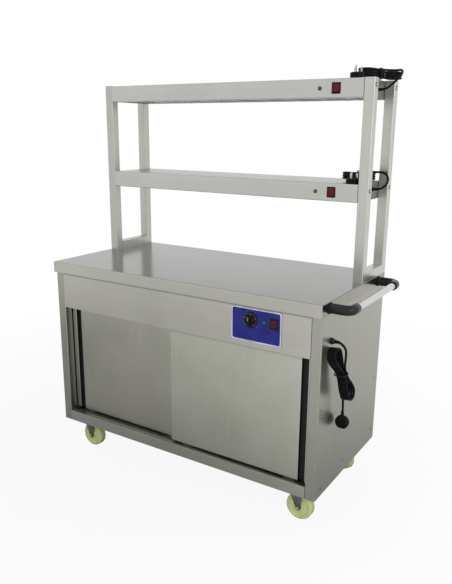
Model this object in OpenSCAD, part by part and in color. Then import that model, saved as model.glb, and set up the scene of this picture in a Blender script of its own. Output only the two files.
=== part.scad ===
// Mobile hot cupboard with sliding doors, a two-tier heated gantry, a push handle and four castors.
// X runs along the front from left to right, Y from front to back, Z up from the floor.

/* [Worktop] */
// Length of the worktop
worktop_w = 1200; // [900:1:1800]
// Depth of the worktop
worktop_d = 585; // [500:1:800]
// Height of the worktop surface above the floor
worktop_h = 820; // [760:1:950]
// Height of the folded edge
worktop_edge = 44; // [30:1:60]
// Sheet thickness of the worktop
worktop_sheet = 1.5; // [1:0.1:3]
// Width of the lip returned under the edge
worktop_lip = 16; // [8:1:30]
// Outer radius of the fold along the edge
worktop_radius = 3; // [2:0.5:6]
// Width of a stiffening channel under the worktop
stiffener_w = 60; // [30:1:90]
// Depth of a stiffening channel
stiffener_h = 25; // [10:1:28]

/* [Cabinet] */
// Distance of the side faces inside the worktop's ends
side_inset = 1; // [0.5:0.5:6]
// Distance of the cabinet's front behind the worktop's front edge
front_inset = 12; // [4:1:30]
// Distance of the back inside the worktop's rear edge
rear_inset = 1; // [0.5:0.5:6]
// Height of the cabinet's lower edge above the floor
cabinet_bottom = 117; // [116:1:124]
// Sheet thickness of the panels
panel_sheet = 1.2; // [0.8:0.1:2]
// Width of the corner posts on the front, with the side panel's edge
post_w = 39; // [30:1:50]
// Depth of the corner posts
post_d = 38; // [30:1:50]
// Wall of the corner posts
post_wall = 1.5; // [1:0.1:3]
// Height of the control fascia
fascia_h = 147; // [140:1:180]
// Width of the fascia's lower return
fascia_return = 12; // [6:1:13]
// Height of the bottom rail
rail_h = 45; // [43:1:60]
// Width of the returns along the lower edges
lower_return = 22; // [10:1:30]
// Height of the middle shelf's surface above the floor
mid_shelf_h = 395; // [300:1:500]
// Drop of the middle shelf's folded edges
mid_shelf_edge = 24; // [10:1:40]
// Gap between the middle shelf's front edge and the doors
mid_shelf_gap = 14; // [8:1:60]
// Depth of the shelf brackets' vertical leg
bracket_drop = 26; // [15:1:40]

/* [Sliding doors] */
// Thickness of a door
door_t = 18; // [16:0.5:22]
// Gap between the two doors
door_gap = 4; // [3:0.5:8]
// Distance of the front door behind the fascia's face
door_setback = 15; // [14:0.5:25]
// Gap between a closed door and its post
door_side_gap = 3; // [2:0.5:6]
// Length by which the closed doors overlap
door_overlap = 50; // [20:1:100]
// Gap between the doors and the bottom rail's top
door_floor_gap = 8; // [5:0.5:12]
// Height by which the doors reach up behind the fascia
door_hidden = 16; // [5:0.5:20]
// Sheet thickness of the door skins
door_sheet = 1; // [0.8:0.1:1.5]
// Radius of the doors' folded edges
door_radius = 2.5; // [1.5:0.5:4]
// Width of the finger grip channel
grip_w = 25; // [18:1:40]
// Depth of the finger grip channel
grip_d = 12; // [6:0.5:13]
// Width of the lip outside the left door's grip channel
left_lip = 21; // [6:0.5:30]
// Width of the lip outside the right door's grip channel
right_lip = 7.5; // [6:0.5:30]
// Radius of a door roller
roller_r = 11; // [8:0.5:14]
// Width of a door roller
roller_w = 5; // [3:0.5:6]
// Radius of a roller pin
roller_pin_r = 2.5; // [2:0.25:4]
// Distance of a roller from the end of its door
roller_inset = 70; // [40:1:150]
// Thickness of the hanger plates
hanger_t = 2; // [1.5:0.5:3]
// Sheet thickness of the door tracks
track_sheet = 1.2; // [0.8:0.1:1.6]
// Height of the roller ledges above the top of the doors
ledge_rise = 10; // [9:0.5:14]
// Height of the top track above its roller ledges
track_h = 45; // [30:1:48]
// Width of a guide groove
groove_w = 6; // [5:0.5:8]
// Depth of a guide groove
groove_d = 10; // [8:0.5:14]
// Thickness of the door guides
guide_t = 2.4; // [2:0.1:4]

/* [Controls] */
// Width of the control plate
plate_w = 196; // [180:1:240]
// Height of the control plate
plate_h = 121; // [110:1:135]
// Thickness of the control plate
plate_t = 1.5; // [1:0.1:3]
// Corner radius of the control plate
plate_r = 9; // [3:0.5:15]
// Distance of the plate's centre from the worktop's right end
plate_from_right = 245; // [220:1:500]
// Height of the plate's centre below the worktop's underside
plate_drop = 69; // [66:1:74]
// Height of the control row above the plate's centre
control_rise = 18; // [10:1:25]
// Radius of the knob's dial
dial_r = 28; // [20:0.5:32]
// Thickness of the dial
dial_t = 5; // [3:0.5:8]
// Radius of the knob's cap
cap_r = 17; // [12:0.5:19]
// Height of the knob's cap over the dial
cap_h = 16.7; // [10:0.1:22]
// Width of the knob's grip bar
grip_bar = 11; // [8:0.5:14]
// Radius of the thermostat's shaft
shaft_r = 3; // [2.5:0.1:4]
// Width of a switch bezel
bezel_w = 32; // [28:0.5:36]
// Height of a switch bezel
bezel_h = 38; // [34:0.5:44]
// Width of a switch's body
switch_w = 25; // [20:0.1:27]
// Height of a switch's body
switch_h = 32; // [26:0.1:34]
// Depth of a switch's body
switch_d = 24; // [18:0.5:30]
// Angle by which a rocker tips from the middle
rocker_tip = 7; // [5:0.5:8]
// Radius of a pilot lamp's flange
lamp_flange_r = 7; // [6:0.25:9]
// Radius of a pilot lamp's body
lamp_r = 5; // [4:0.25:5.75]

/* [Gantry] */
// Height of the gantry above the worktop
gantry_h = 703; // [600:1:800]
// Depth of the gantry
gantry_d = 244; // [200:1:300]
// Distance of the left frame from the worktop's left end
gantry_inset_left = 5; // [0:0.5:20]
// Width of a gantry post
gantry_post_w = 37; // [25:1:50]
// Depth of a gantry post
gantry_post_d = 36; // [25:1:50]
// Wall of a gantry post
gantry_wall = 1.5; // [1:0.1:3]
// Height of the gantry's bottom rails
gantry_rail_h = 35; // [20:1:60]
// Height of a shelf housing
shelf_h = 64; // [56:1:80]
// Height of the lower shelf's underside above the worktop
lower_shelf_rise = 286; // [240:1:330]
// Sheet thickness of the shelf housings
shelf_sheet = 1.2; // [0.8:0.1:2]
// Radius of the shelf housings' folds
shelf_radius = 2.5; // [2:0.5:5]
// Gap between a housing and the frames
shelf_gap = 0.4; // [0.2:0.1:0.8]
// Width of the lips under a housing
shelf_lip = 26; // [15:1:40]
// Height of a reflector above the lips
reflector_h = 20; // [16:1:22]
// Distance of the shelf switches from the worktop's right end
shelf_switch_from_right = 136.5; // [100:0.5:300]
// Distance between a shelf's switch and its lamp
shelf_lamp_pitch = 61; // [40:1:120]
// Length of a heat lamp
heat_lamp_l = 500; // [300:1:520]
// Radius of a heat lamp
heat_lamp_r = 6; // [4:0.5:7]

/* [Push handle] */
// Distance of the handle bar from the worktop's end
handle_reach = 72; // [55:1:90]
// Distance of the front arm from the worktop's front edge
handle_front = 60; // [40:1:120]
// Distance of the rear arm from the worktop's front edge
handle_rear = 512; // [400:1:545]
// Drop of the bar's axis below the worktop's surface
handle_drop = 22; // [20:1:24]
// Outer radius of an elbow
elbow_r = 17; // [14:0.5:17.5]
// Bend radius of an elbow's axis
elbow_bend = 26; // [20:1:30]
// Length of an elbow's socket
elbow_socket = 20; // [8:1:30]
// Radius of the handle bar
bar_r = 12.5; // [10:0.5:13]
// Wall of the handle bar
bar_wall = 1.5; // [1:0.1:2.5]

/* [Castors] */
// Radius of a wheel
wheel_r = 50; // [46:0.5:50.5]
// Width of a wheel's tread
wheel_w = 32; // [24:1:34]
// Width of a wheel's hub
hub_w = 36; // [35:0.5:37]
// Radius of a wheel's hub
hub_r = 15; // [12:0.5:20]
// Radius of an axle
axle_r = 5; // [4:0.25:6]
// Distance of the axle behind the swivel axis
trail = 26; // [20:1:32]
// Thickness of a fork
fork_t = 3; // [2:0.5:3.5]
// Overall height of a castor
castor_h = 128; // [127:1:132]
// Radius of the swivel bearing
race_r = 27; // [22:0.5:30]
// Radius of the kingpin
kingpin_r = 6; // [5:0.25:8]
// Length of a castor plate
castor_plate_l = 95; // [80:1:100]
// Width of a castor plate
castor_plate_w = 68; // [60:1:75]
// Thickness of a castor plate
castor_plate_t = 3; // [2:0.5:4]
// Distance of the left castors' axis from the worktop's left end
castor_left = 94; // [90:1:160]
// Distance of the right castors' axis from the worktop's right end
castor_right = 104; // [90:1:160]
// Distance of the front castors' axis from the worktop's front edge
castor_front = 68; // [62:1:110]
// Distance of the rear castors' axis from the worktop's rear edge
castor_rear = 90; // [62:1:120]
// Angle by which the rear castors are turned at rest
rear_turn = -30; // [-90:1:90]

/* [Leads] */
// Diameter of the leads
lead_d = 8; // [7:0.1:9]
// Radius of a fold of a hank
fold_r = 24; // [22:0.5:28]
// Distance from layer to layer in a hank
layer_pitch = 8.7; // [8.5:0.1:10]
// Length of the cupboard lead's runs
mains_run = 160; // [120:1:170]
// Length of the shelf leads' runs
shelf_run = 120; // [110:1:130]
// Length of a plug's body
plug_l = 44; // [40:1:50]
// Width of a plug's body
plug_w = 48; // [44:1:52]
// Thickness of a plug's body
plug_t = 18; // [15:0.5:24]
// Length of a plug's strain relief
relief_l = 20; // [20:1:30]

/* [Fits] */
// Radial clearance of a shaft in its hole
running_fit = 0.05; // [0.02:0.01:0.1]
// Gap between pieces that lie beside each other
seat_gap = 0.3; // [0.1:0.05:0.5]
// Gap of a panel's cut-out round a fitting
cutout_gap = 0.2; // [0.1:0.05:0.4]

/* [Hidden] */
$fn = 48;

// Small length by which a cut runs past a face.
over = 1;

// Main planes of the cabinet.
top_under = worktop_h - worktop_edge;
left_face = side_inset;
right_face = worktop_w - side_inset;
front_face = front_inset;
rear_face = worktop_d - rear_inset;
left_inside = left_face + panel_sheet;
right_inside = right_face - panel_sheet;
rear_inside = rear_face - panel_sheet;
bay_left = left_face + post_w;
bay_right = right_face - post_w;
rear_post_front = rear_inside - post_d;
fascia_bottom = top_under - fascia_h;
rail_top = cabinet_bottom + rail_h;

// Doors and tracks.
door_w = (bay_right - bay_left - 2 * door_side_gap + door_overlap) / 2;
door_bottom = rail_top + door_floor_gap;
door_top = fascia_bottom + door_hidden;
door_h = door_top - door_bottom;
front_door_y = front_face + door_setback;
rear_door_y = front_door_y + door_t + door_gap;
left_door_x = bay_left + door_side_gap;
right_door_x = bay_right - door_side_gap;
ledge_top = door_top + ledge_rise;
ledge_w = 9;
track_top = ledge_top + track_h;
roller_gap = 2.2;
upright_y = 10;
roller_back = upright_y - 2.8;
track_front = front_face + 3;
track_rear = rear_door_y + door_t + 8;
groove_bottom = rail_top - groove_d;
foot_l = 60;
guide_l = 40;
guide_drop = door_floor_gap + groove_d - 4;
door_return = 14;

// Controls.
plate_x = worktop_w - plate_from_right;
plate_z = top_under - plate_drop;
plate_front = front_face - plate_t;
control_z = plate_z + control_rise;
knob_x = plate_x - 20;
cupboard_lamp_x = plate_x + 32;
cupboard_switch_x = plate_x + 70;
bushing_r = shaft_r + 2;
thermostat_w = 38;
thermostat_d = 34;
bezel_t = 2;
switch_wall = 1.1;
rocker_w = switch_w - 2 * switch_wall - 2 * seat_gap;
rocker_half_h = switch_h / 2 - switch_wall - 1.4;
rocker_pivot = 4;
rocker_pin_r = 1.4;

// Gantry.
gantry_front = worktop_d - gantry_d;
gantry_rear = worktop_d;
gantry_top = worktop_h + gantry_h;
left_frame_x = gantry_inset_left;
right_frame_x = worktop_w - gantry_post_w;
shelf_x0 = left_frame_x + gantry_post_w + shelf_gap;
shelf_x1 = right_frame_x - shelf_gap;
lower_shelf_z = worktop_h + lower_shelf_rise;
upper_shelf_z = gantry_top - shelf_h;
shelf_switch_x = worktop_w - shelf_switch_from_right;
shelf_lamp_x = shelf_switch_x - shelf_lamp_pitch;
shelf_mid_y = (gantry_front + gantry_rear) / 2;
shelf_screw_inset = 70;
shelf_screw_pitch = 180;
bolt_rise = 41;

// Reflectors, their guard wires and the lamps under them.
reflector_flat = 55;
guard_r = 1.5;
guard_sink = 0.5;
guard_inset = 60;
guard_pitch = 120;
holder_w = 16;
holder_d = 24;
lamp_gap = 12;

// Heating element.
element_r = 4;
element_rise = 22;
element_inset = 90;
element_bend = 32;
clip_inset = 150;

// Handle.
handle_z = worktop_h - handle_drop;
bar_x = worktop_w + handle_reach;

// Castors, as the swivel's X and Y and the turn at rest.
castors = [
  [castor_left, castor_front, 0],
  [worktop_w - castor_right, castor_front, 0],
  [castor_left, worktop_d - castor_rear, rear_turn],
  [worktop_w - castor_right, worktop_d - castor_rear, rear_turn]
];
race_h = 8;
crown_top = castor_h - castor_plate_t - race_h;
crown_z = crown_top - 6;
fork_inner = hub_w / 2 + 1;
frame_web = 2;
channel_w = 104;
deck_sheet = 1.5;

// Cable glands and the points where the leads leave them.
gland_l = 16;
gland_r = 12.5;
gland_y = 86;
gland_z = 679;
grommet_l = 10;
upper_exit_y = gantry_front + 125;
lower_exit_y = gantry_front + 149;
exit_rise = 31;
lower_exit_rise = 38;
mains_exit = [right_face + gland_l, gland_y, gland_z];
upper_exit = [shelf_x1 + grommet_l, upper_exit_y, upper_shelf_z + exit_rise];
lower_exit = [shelf_x1 + grommet_l, lower_exit_y, lower_shelf_z + lower_exit_rise];

// Radius of the wire ties round the hanks.
tie_r = 1.2;

// Starts from which the leads' hand-chosen points are measured.
mains_start = [right_face, gland_y, gland_z];
upper_start = [shelf_x1, gantry_front, gantry_top];
lower_start = [shelf_x1, gantry_front, lower_shelf_z + shelf_h];

// Hanks: centre, direction of the runs, direction of the layers and number of loops.
mains_hank_at = mains_start + [36, 13, -114];
mains_hank_run = unit([0.12, 0.39, -0.9]);
mains_hank_up = square_to([1, 0, 0], mains_hank_run);
mains_loops = 4;
shelf_loops = 3;
upper_hank_at = upper_start + [4, 139, hank_rise(shelf_loops)];
upper_hank_run = unit([-0.55, -0.84, 0]);
lower_hank_at = lower_start + [-51, 141, hank_rise(shelf_loops)];
lower_hank_run = unit([-0.2, -0.98, 0]);

// Height of a plug's cord above the shelf that the plug lies on.
plug_back = 0.39 * plug_t;
plug_rise = seat_gap + plug_back;

// Routes of the free leads, from the gland to the hank and from the hank to the plug.
mains_route_in = from(mains_start, [
  [33, 0.5, -2.5], [43.3, 1.5, -9.7], [50.5, 2.7, -20.4], [53, 3.2, -33], [52.5, 3.2, -58], [50.8, 5, -78]
]);
mains_route_out = from(mains_start, [[22.2, 33.5, -150], [26, 48, -181], [29, 58, -212], [30, 61.5, -240]]);
mains_plug_at = mains_start + [30, 62, -267];
upper_route_in = from(upper_start, [
  [35.5, 125, -29.2], [49.9, 125, -19.5], [63.4, 128.6, -6.7], [73.3, 138.5, 7.3], [76.9, 152, 20.1],
  [73.3, 165.5, 29.5], [63.4, 175.4, 33.1], [49.5, 179.2, 33.1], [36, 175.5, 33.1], [26.6, 166.3, 33.1]
]);
upper_route_out = from(upper_start, [
  [-8, 114, 7], [-17.5, 103, 7], [-26.5, 92.6, 7], [-31.8, 84.5, 7.1], [-34.3, 77.5, 7.2]
]);
upper_plug_at = upper_start + [-35, 65, plug_rise];
lower_route_in = from(lower_start, [
  [32.1, 151.3, -22], [44.6, 157.6, -11.2], [49.2, 166.2, 3.6], [44.6, 174.8, 18.3], [32.1, 181.1, 29.1],
  [15, 183.4, 33.1], [1.6, 183.4, 33.1], [-11.7, 183.4, 33.1], [-25.7, 180.2, 33.1], [-36.9, 171.1, 33.1]
]);
lower_route_out = from(lower_start, [
  [-50.8, 114.6, 7], [-49.1, 106.6, 7], [-45.3, 99.5, 7], [-40, 93.9, 7], [-34.7, 88.3, 7], [-30.9, 81.1, 7.1]
]);
lower_plug_at = lower_start + [-29, 65, plug_rise];

// Middle of the part in plan, with the handle and the knob.
mid_x = (bar_x + elbow_r) / 2;
knob_front = plate_front - seat_gap - dial_t - cap_h;
mid_y = (knob_front + worktop_d) / 2;

module placed() {
  translate([-mid_x, -mid_y, 0]) children();
}

module box(x0, x1, y0, y1, z0, z1) {
  translate([x0, y0, z0]) cube([x1 - x0, y1 - y0, z1 - z0]);
}

// Rectangle with round corners, from its lower left corner.
module round_rect(w, h, r) {
  translate([r, 0]) square([w - 2 * r, h]);
  translate([0, r]) square([w, h - 2 * r]);
  for (x = [r, w - r], y = [r, h - r]) translate([x, y]) circle(r);
}

// Rectangle with two round upper corners.
module arched_rect(w, h, r) {
  square([w, h - r]);
  translate([r, 0]) square([w - 2 * r, h]);
  for (x = [r, w - r]) translate([x, h - r]) circle(r);
}

// Block whose four upper edges are round.
module soft_top_block(w, d, h, r) {
  intersection() {
    translate([0, d, 0]) rotate([90, 0, 0]) linear_extrude(d) arched_rect(w, h, r);
    rotate([90, 0, 90]) linear_extrude(w) arched_rect(d, h, r);
  }
}

// Upright tube with round corners.
module post(w, d, h, wall) {
  linear_extrude(h) difference() {
    round_rect(w, d, 2 * wall);
    translate([wall, wall]) round_rect(w - 2 * wall, d - 2 * wall, wall);
  }
}

// Extrusion along X of a profile drawn in Y and Z.
module along_x(x0, x1) {
  translate([x0, 0, 0]) rotate([90, 0, 90]) linear_extrude(x1 - x0) children();
}

// Cylinder along Y, from y0 to y1.
module rod_y(x, z, y0, y1, r) {
  translate([x, y1, z]) rotate([90, 0, 0]) cylinder(h = y1 - y0, r = r);
}

// Cylinder along X, from x0 to x1.
module rod_x(x0, x1, y, z, r) {
  translate([x0, y, z]) rotate([0, 90, 0]) cylinder(h = x1 - x0, r = r);
}

// Vector helpers for the leads.
function unit(v) = v / norm(v);
function square_to(v, along) = unit(v - (v * along) * along);
function hank_rise(loops) = 2 * seat_gap + 2 * tie_r + lead_d / 2 + loops * layer_pitch / 2;
function from(start, points) = [for (p = points) start + p];

// Smooth curve through hand-chosen points, with a few steps from point to point.
function curve_point(a, b, c, d, t) =
  0.5 * ((2 * b) + (c - a) * t + (2 * a - 5 * b + 4 * c - d) * t * t
    + (3 * b - a - 3 * c + d) * t * t * t);
function curve(p, steps) =
  let (n = len(p) - 1)
  concat(
    [for (i = [0 : n - 1], k = [0 : steps - 1])
      curve_point(p[max(i - 1, 0)], p[i], p[i + 1], p[min(i + 2, n)], k / steps)],
    [p[n]]
  );

// Directions along a path, and a side direction carried from ring to ring without twist.
function path_dirs(p) =
  let (n = len(p) - 1)
  [for (i = [0 : n]) unit(p[min(i + 1, n)] - p[max(i - 1, 0)])];
function path_sides(dirs, first) = [
  for (i = 0, s = square_to(first, dirs[0]); i < len(dirs);
       i = i + 1, s = i < len(dirs) ? square_to(s, dirs[i]) : s) s
];

// Tube swept along a path.
module tube(p, r, sides, first) {
  dirs = path_dirs(p);
  side = path_sides(dirs, first);
  rings = len(p);
  points = [
    for (i = [0 : rings - 1], k = [0 : sides - 1])
      let (a = 360 * (k + 0.5) / sides)
      p[i] + r * (cos(a) * side[i] + sin(a) * cross(dirs[i], side[i]))
  ];
  walls = [
    for (i = [0 : rings - 2], k = [0 : sides - 1])
      let (a = i * sides + k, b = i * sides + (k + 1) % sides)
      each [[a, a + sides, b], [b, a + sides, b + sides]]
  ];
  last = (rings - 1) * sides;
  ends = [
    for (k = [1 : sides - 2])
      each [[0, k, k + 1], [last, last + k + 1, last + k]]
  ];
  polyhedron(points = points, faces = concat(walls, ends), convexity = 10);
}

// Hank: loops drawn in at the waist, each climbing one layer on its way back.
waist_half = layer_pitch / 2;
lead_in = 12;
function hank_width(s, run) = fold_r - (fold_r - waist_half) * pow(cos(180 * s / run), 2);
function hank_stations(run) = [-0.5, -0.32, -0.15, 0, 0.15, 0.32, 0.5] * run;
function hank_fold(run, layer, end) = [
  for (a = [30 : 30 : 150])
    [layer, end * fold_r * cos(a), end * (run / 2 + fold_r * sin(a))]
];
function hank_path(run, loops) =
  let (at = hank_stations(run), top = loops / 2)
  concat(
    [[top, waist_half, -lead_in], [top, waist_half, -lead_in / 3]],
    [for (k = [0 : loops - 1]) each concat(
      [for (s = at) if (k > 0 || s >= 0) [top - k, hank_width(s, run), s]],
      hank_fold(run, top - k, 1),
      [for (s = at) [top - k - (0.5 + s / run), -hank_width(s, run), -s]],
      hank_fold(run, top - k - 1, -1)
    )],
    [for (s = at) if (s <= 0) [top - loops, hank_width(s, run), s]],
    [[top - loops, waist_half, lead_in / 3], [top - loops, waist_half, lead_in]]
  );
function hank_in_place(at, run_dir, up, run, loops) =
  let (side = cross(up, run_dir))
  [for (p = hank_path(run, loops)) at + p[0] * layer_pitch * up + p[1] * side + p[2] * run_dir];
mains_hank_path = hank_in_place(mains_hank_at, mains_hank_run, mains_hank_up, mains_run, mains_loops);
upper_hank_path = hank_in_place(upper_hank_at, upper_hank_run, [0, 0, 1], shelf_run, shelf_loops);
lower_hank_path = hank_in_place(lower_hank_at, lower_hank_run, [0, 0, 1], shelf_run, shelf_loops);

// Free stretches, each just clear of the gland, hank or plug at its ends, with straight tips there.
tip = 6;
tip_gap = 0.1;
function stretch(start, start_dir, route, end, end_dir) =
  let (
    p = concat([start + tip_gap * start_dir, start + tip * start_dir], route,
      [end - tip * end_dir, end - tip_gap * end_dir]),
    steps = 2,
    c = curve(p, steps)
  )
  concat([p[0]], [for (i = [steps : len(c) - 1 - steps]) c[i]], [p[len(p) - 1]]);
function stretch_in(exit, route, hank, run_dir) = stretch(exit, [1, 0, 0], route, hank[0], run_dir);
function stretch_out(hank, run_dir, route, plug, plug_dir) =
  stretch(hank[len(hank) - 1], run_dir, route, plug, plug_dir);
mains_in = stretch_in(mains_exit, mains_route_in, mains_hank_path, mains_hank_run);
mains_out = stretch_out(mains_hank_path, mains_hank_run, mains_route_out, mains_plug_at, [0, 0, -1]);
upper_in = stretch_in(upper_exit, upper_route_in, upper_hank_path, upper_hank_run);
upper_out = stretch_out(upper_hank_path, upper_hank_run, upper_route_out, upper_plug_at, [0, -1, 0]);
lower_in = stretch_in(lower_exit, lower_route_in, lower_hank_path, lower_hank_run);
lower_out = stretch_out(lower_hank_path, lower_hank_run, lower_route_out, lower_plug_at, [0, -1, 0]);

// Length of a path, and the least gap of a wound lead to itself, measured on points.
function path_length(p) = len(p) < 2 ? 0 : [for (i = [1 : len(p) - 1]) norm(p[i] - p[i - 1])] * [
  for (i = [1 : len(p) - 1]) 1];
function fine(p) = [for (i = [0 : len(p) - 2], t = [0, 0.25, 0.5, 0.75]) p[i] * (1 - t) + p[i + 1] * t];
function least_gap(p) =
  let (q = fine(p), apart = 14)
  min([for (i = [0 : len(q) - 1 - apart]) min([for (j = [i + apart : len(q) - 1]) norm(q[i] - q[j])])]) - lead_d;
echo(mains_lead_length = path_length(mains_in) + path_length(mains_hank_path) + path_length(mains_out));
echo(upper_lead_length = path_length(upper_in) + path_length(upper_hank_path) + path_length(upper_out));
echo(lower_lead_length = path_length(lower_in) + path_length(lower_hank_path) + path_length(lower_out));
echo(least_gaps = [least_gap(mains_hank_path), least_gap(upper_hank_path), least_gap(lower_hank_path)]);

module worktop() placed() color("lightgray") {
  difference() {
    translate([0, 0, top_under]) soft_top_block(worktop_w, worktop_d, worktop_edge, worktop_radius);
    translate([worktop_sheet, worktop_sheet, top_under - over])
      soft_top_block(worktop_w - 2 * worktop_sheet, worktop_d - 2 * worktop_sheet,
        worktop_edge - worktop_sheet + over, max(worktop_radius - worktop_sheet, 0.2));
  }
  difference() {
    half = worktop_sheet / 2;
    box(half, worktop_w - half, half, worktop_d - half, top_under, top_under + worktop_sheet);
    box(worktop_lip, worktop_w - worktop_lip, worktop_lip, worktop_d - worktop_lip,
      top_under - over, top_under + worktop_sheet + over);
  }
}

// Hat channels welded under the worktop.
module worktop_channels() placed() color("silver")
  for (x = [worktop_w / 4, worktop_w / 2, 3 * worktop_w / 4])
    difference() {
      top = worktop_h - worktop_sheet;
      end_gap = max(worktop_radius, worktop_sheet) + seat_gap;
      box(x - stiffener_w / 2, x + stiffener_w / 2, end_gap, worktop_d - end_gap, top - stiffener_h, top);
      box(x - stiffener_w / 2 + worktop_sheet, x + stiffener_w / 2 - worktop_sheet, 0, worktop_d,
        top - stiffener_h + worktop_sheet, top + over);
    }

module corner_posts() placed() color("lightgray")
  for (x = [left_inside, bay_right], y = [front_face, rear_post_front])
    translate([x, y, cabinet_bottom])
      post(post_w - panel_sheet, post_d, top_under - cabinet_bottom, post_wall);

// Side panel with a return along its lower edge; its outer face lies at face_x.
module side_panel(face_x, inward) {
  x0 = min(face_x, face_x + inward * panel_sheet);
  box(x0, x0 + panel_sheet, front_face + 2, rear_inside, cabinet_bottom, top_under);
  r0 = min(face_x, face_x + inward * lower_return);
  box(r0, r0 + lower_return, front_face + post_d + seat_gap, rear_post_front - seat_gap,
    cabinet_bottom, cabinet_bottom + panel_sheet);
}

module left_side_panel() placed() color("silver") side_panel(left_face, 1);

module right_side_panel() placed() color("silver") difference() {
  side_panel(right_face, -1);
  rod_x(right_inside - over, right_face + over, gland_y, gland_z, gland_r * 0.7 + cutout_gap);
}

module back_panel() placed() color("silver") {
  box(left_face, right_face, rear_inside, rear_face, cabinet_bottom, top_under);
  box(bay_left + seat_gap, bay_right - seat_gap, rear_inside - lower_return, rear_face,
    cabinet_bottom, cabinet_bottom + panel_sheet);
}

module base_deck() placed() color("gainsboro") difference() {
  box(left_inside + seat_gap, right_inside - seat_gap, track_rear + seat_gap, rear_inside - seat_gap,
    rail_top - deck_sheet, rail_top);
  for (x = [left_inside - over, bay_right - seat_gap])
    box(x, x + post_w, rear_post_front - seat_gap, rear_inside, rail_top - deck_sheet - over, rail_top + over);
}

// Loose shelf on two angle brackets.
module mid_shelf() placed() color("gainsboro") {
  y0 = rear_door_y + door_t + mid_shelf_gap;
  y1 = rear_post_front - seat_gap;
  x0 = bay_left + seat_gap;
  x1 = bay_right - seat_gap;
  box(x0, x1, y0, y1, mid_shelf_h - panel_sheet, mid_shelf_h);
  for (y = [y0, y1 - panel_sheet]) box(x0, x1, y, y + panel_sheet, mid_shelf_h - mid_shelf_edge, mid_shelf_h);
  bracket_top = mid_shelf_h - panel_sheet;
  b0 = y0 + panel_sheet + seat_gap;
  b1 = y1 - panel_sheet - seat_gap;
  reach = post_w + 12;
  for (side = [0, 1]) translate([side * worktop_w, 0, 0]) mirror([side, 0, 0]) {
    box(left_inside, left_inside + post_wall, b0, b1, bracket_top - bracket_drop, bracket_top);
    box(left_inside, left_inside + reach, b0, b1, bracket_top - post_wall, bracket_top);
  }
}

// Cut-outs for the three controls, through everything in front of the control space.
module control_cutouts() {
  rod_y(knob_x, control_z, plate_front - over, front_face + panel_sheet + over, bushing_r + cutout_gap);
  rod_y(cupboard_lamp_x, control_z, plate_front - over, front_face + panel_sheet + over, lamp_r + cutout_gap);
  w = switch_w / 2 + cutout_gap;
  h = switch_h / 2 + cutout_gap;
  box(cupboard_switch_x - w, cupboard_switch_x + w, plate_front - over, front_face + panel_sheet + over,
    control_z - h, control_z + h);
}

module fascia() placed() color("lightgray") difference() {
  union() {
    box(bay_left, bay_right, front_face, front_face + panel_sheet, fascia_bottom, top_under);
    box(bay_left, bay_right, front_face, front_face + fascia_return, fascia_bottom, fascia_bottom + panel_sheet);
    box(bay_left, bay_right, front_face, front_face + post_d, top_under - panel_sheet, top_under);
  }
  control_cutouts();
}

module bottom_rail() placed() color("silver") {
  box(bay_left, bay_right, front_face, front_face + panel_sheet, cabinet_bottom, rail_top);
  box(bay_left, bay_right, front_face, front_face + lower_return, cabinet_bottom, cabinet_bottom + panel_sheet);
}

// Channels from front to back that carry the deck and the castors.
module base_frame() placed() color("silver")
  for (x = [castor_left, worktop_w / 2, worktop_w - castor_right]) difference() {
    y0 = front_face + panel_sheet;
    deck_under = rail_top - deck_sheet;
    box(x - channel_w / 2, x + channel_w / 2, y0, rear_inside, castor_h, deck_under);
    box(x - channel_w / 2 + frame_web, x + channel_w / 2 - frame_web, y0 - over, rear_inside + over,
      castor_h + frame_web, deck_under + over);
    box(x - channel_w, x + channel_w, y0 - over, track_rear + seat_gap, groove_bottom - track_sheet, rail_top);
  }

// Double track in which the door rollers run, each on its own ledge.
module top_track() placed() color("silver") along_x(bay_left, bay_right) {
  translate([front_face + panel_sheet, track_top])
    square([track_rear - front_face - panel_sheet, track_sheet]);
  for (y = [front_door_y, rear_door_y]) {
    translate([y - 1, ledge_top - track_sheet]) square([track_sheet, track_h + 2 * track_sheet]);
    translate([y - 1, ledge_top - track_sheet]) square([ledge_w, track_sheet]);
  }
  translate([track_rear - track_sheet, ledge_top]) square([track_sheet, track_h + track_sheet]);
}

// Grooved track that guides the feet of the doors.
module bottom_track() placed() color("silver") along_x(bay_left, bay_right) difference() {
  union() {
    translate([track_front, rail_top - track_sheet]) square([track_rear - track_front, track_sheet]);
    translate([track_front, groove_bottom - track_sheet]) square([track_sheet, groove_d + track_sheet]);
    for (y = [front_door_y, rear_door_y]) {
      mid = y + door_t / 2;
      translate([mid - groove_w / 2 - track_sheet, groove_bottom - track_sheet])
        square([groove_w + 2 * track_sheet, groove_d + track_sheet]);
    }
  }
  for (y = [front_door_y, rear_door_y])
    translate([y + door_t / 2 - groove_w / 2, groove_bottom]) square([groove_w, groove_d + over]);
}

// Tubular element laid in four runs over the deck, between two clips and two end blocks.
module heating_element() placed() color("dimgray") {
  z = rail_top + element_rise;
  x0 = bay_left + element_inset;
  x1 = bay_right - element_inset;
  pitch = 2 * element_bend;
  y0 = (track_rear + rear_inside) / 2 - 1.5 * pitch;
  for (k = [0 : 3]) rod_x(x0, x1, y0 + pitch * k, z, element_r);
  for (k = [0, 2]) translate([x0, y0 + pitch * (k + 0.5), z]) rotate([0, 0, 90])
    rotate_extrude(angle = 180) translate([element_bend, 0]) circle(element_r);
  translate([x1, y0 + 1.5 * pitch, z]) rotate([0, 0, -90])
    rotate_extrude(angle = 180) translate([element_bend, 0]) circle(element_r);
  for (y = [y0, y0 + 3 * pitch])
    box(x1, x1 + 30, y - 15, y + 15, rail_top, z + 14);
  for (x = [x0 + clip_inset, x1 - clip_inset], k = [0 : 3])
    box(x - 2, x + 2, y0 + pitch * k - 2 * element_r, y0 + pitch * k + 2 * element_r, rail_top, z);
}

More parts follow.
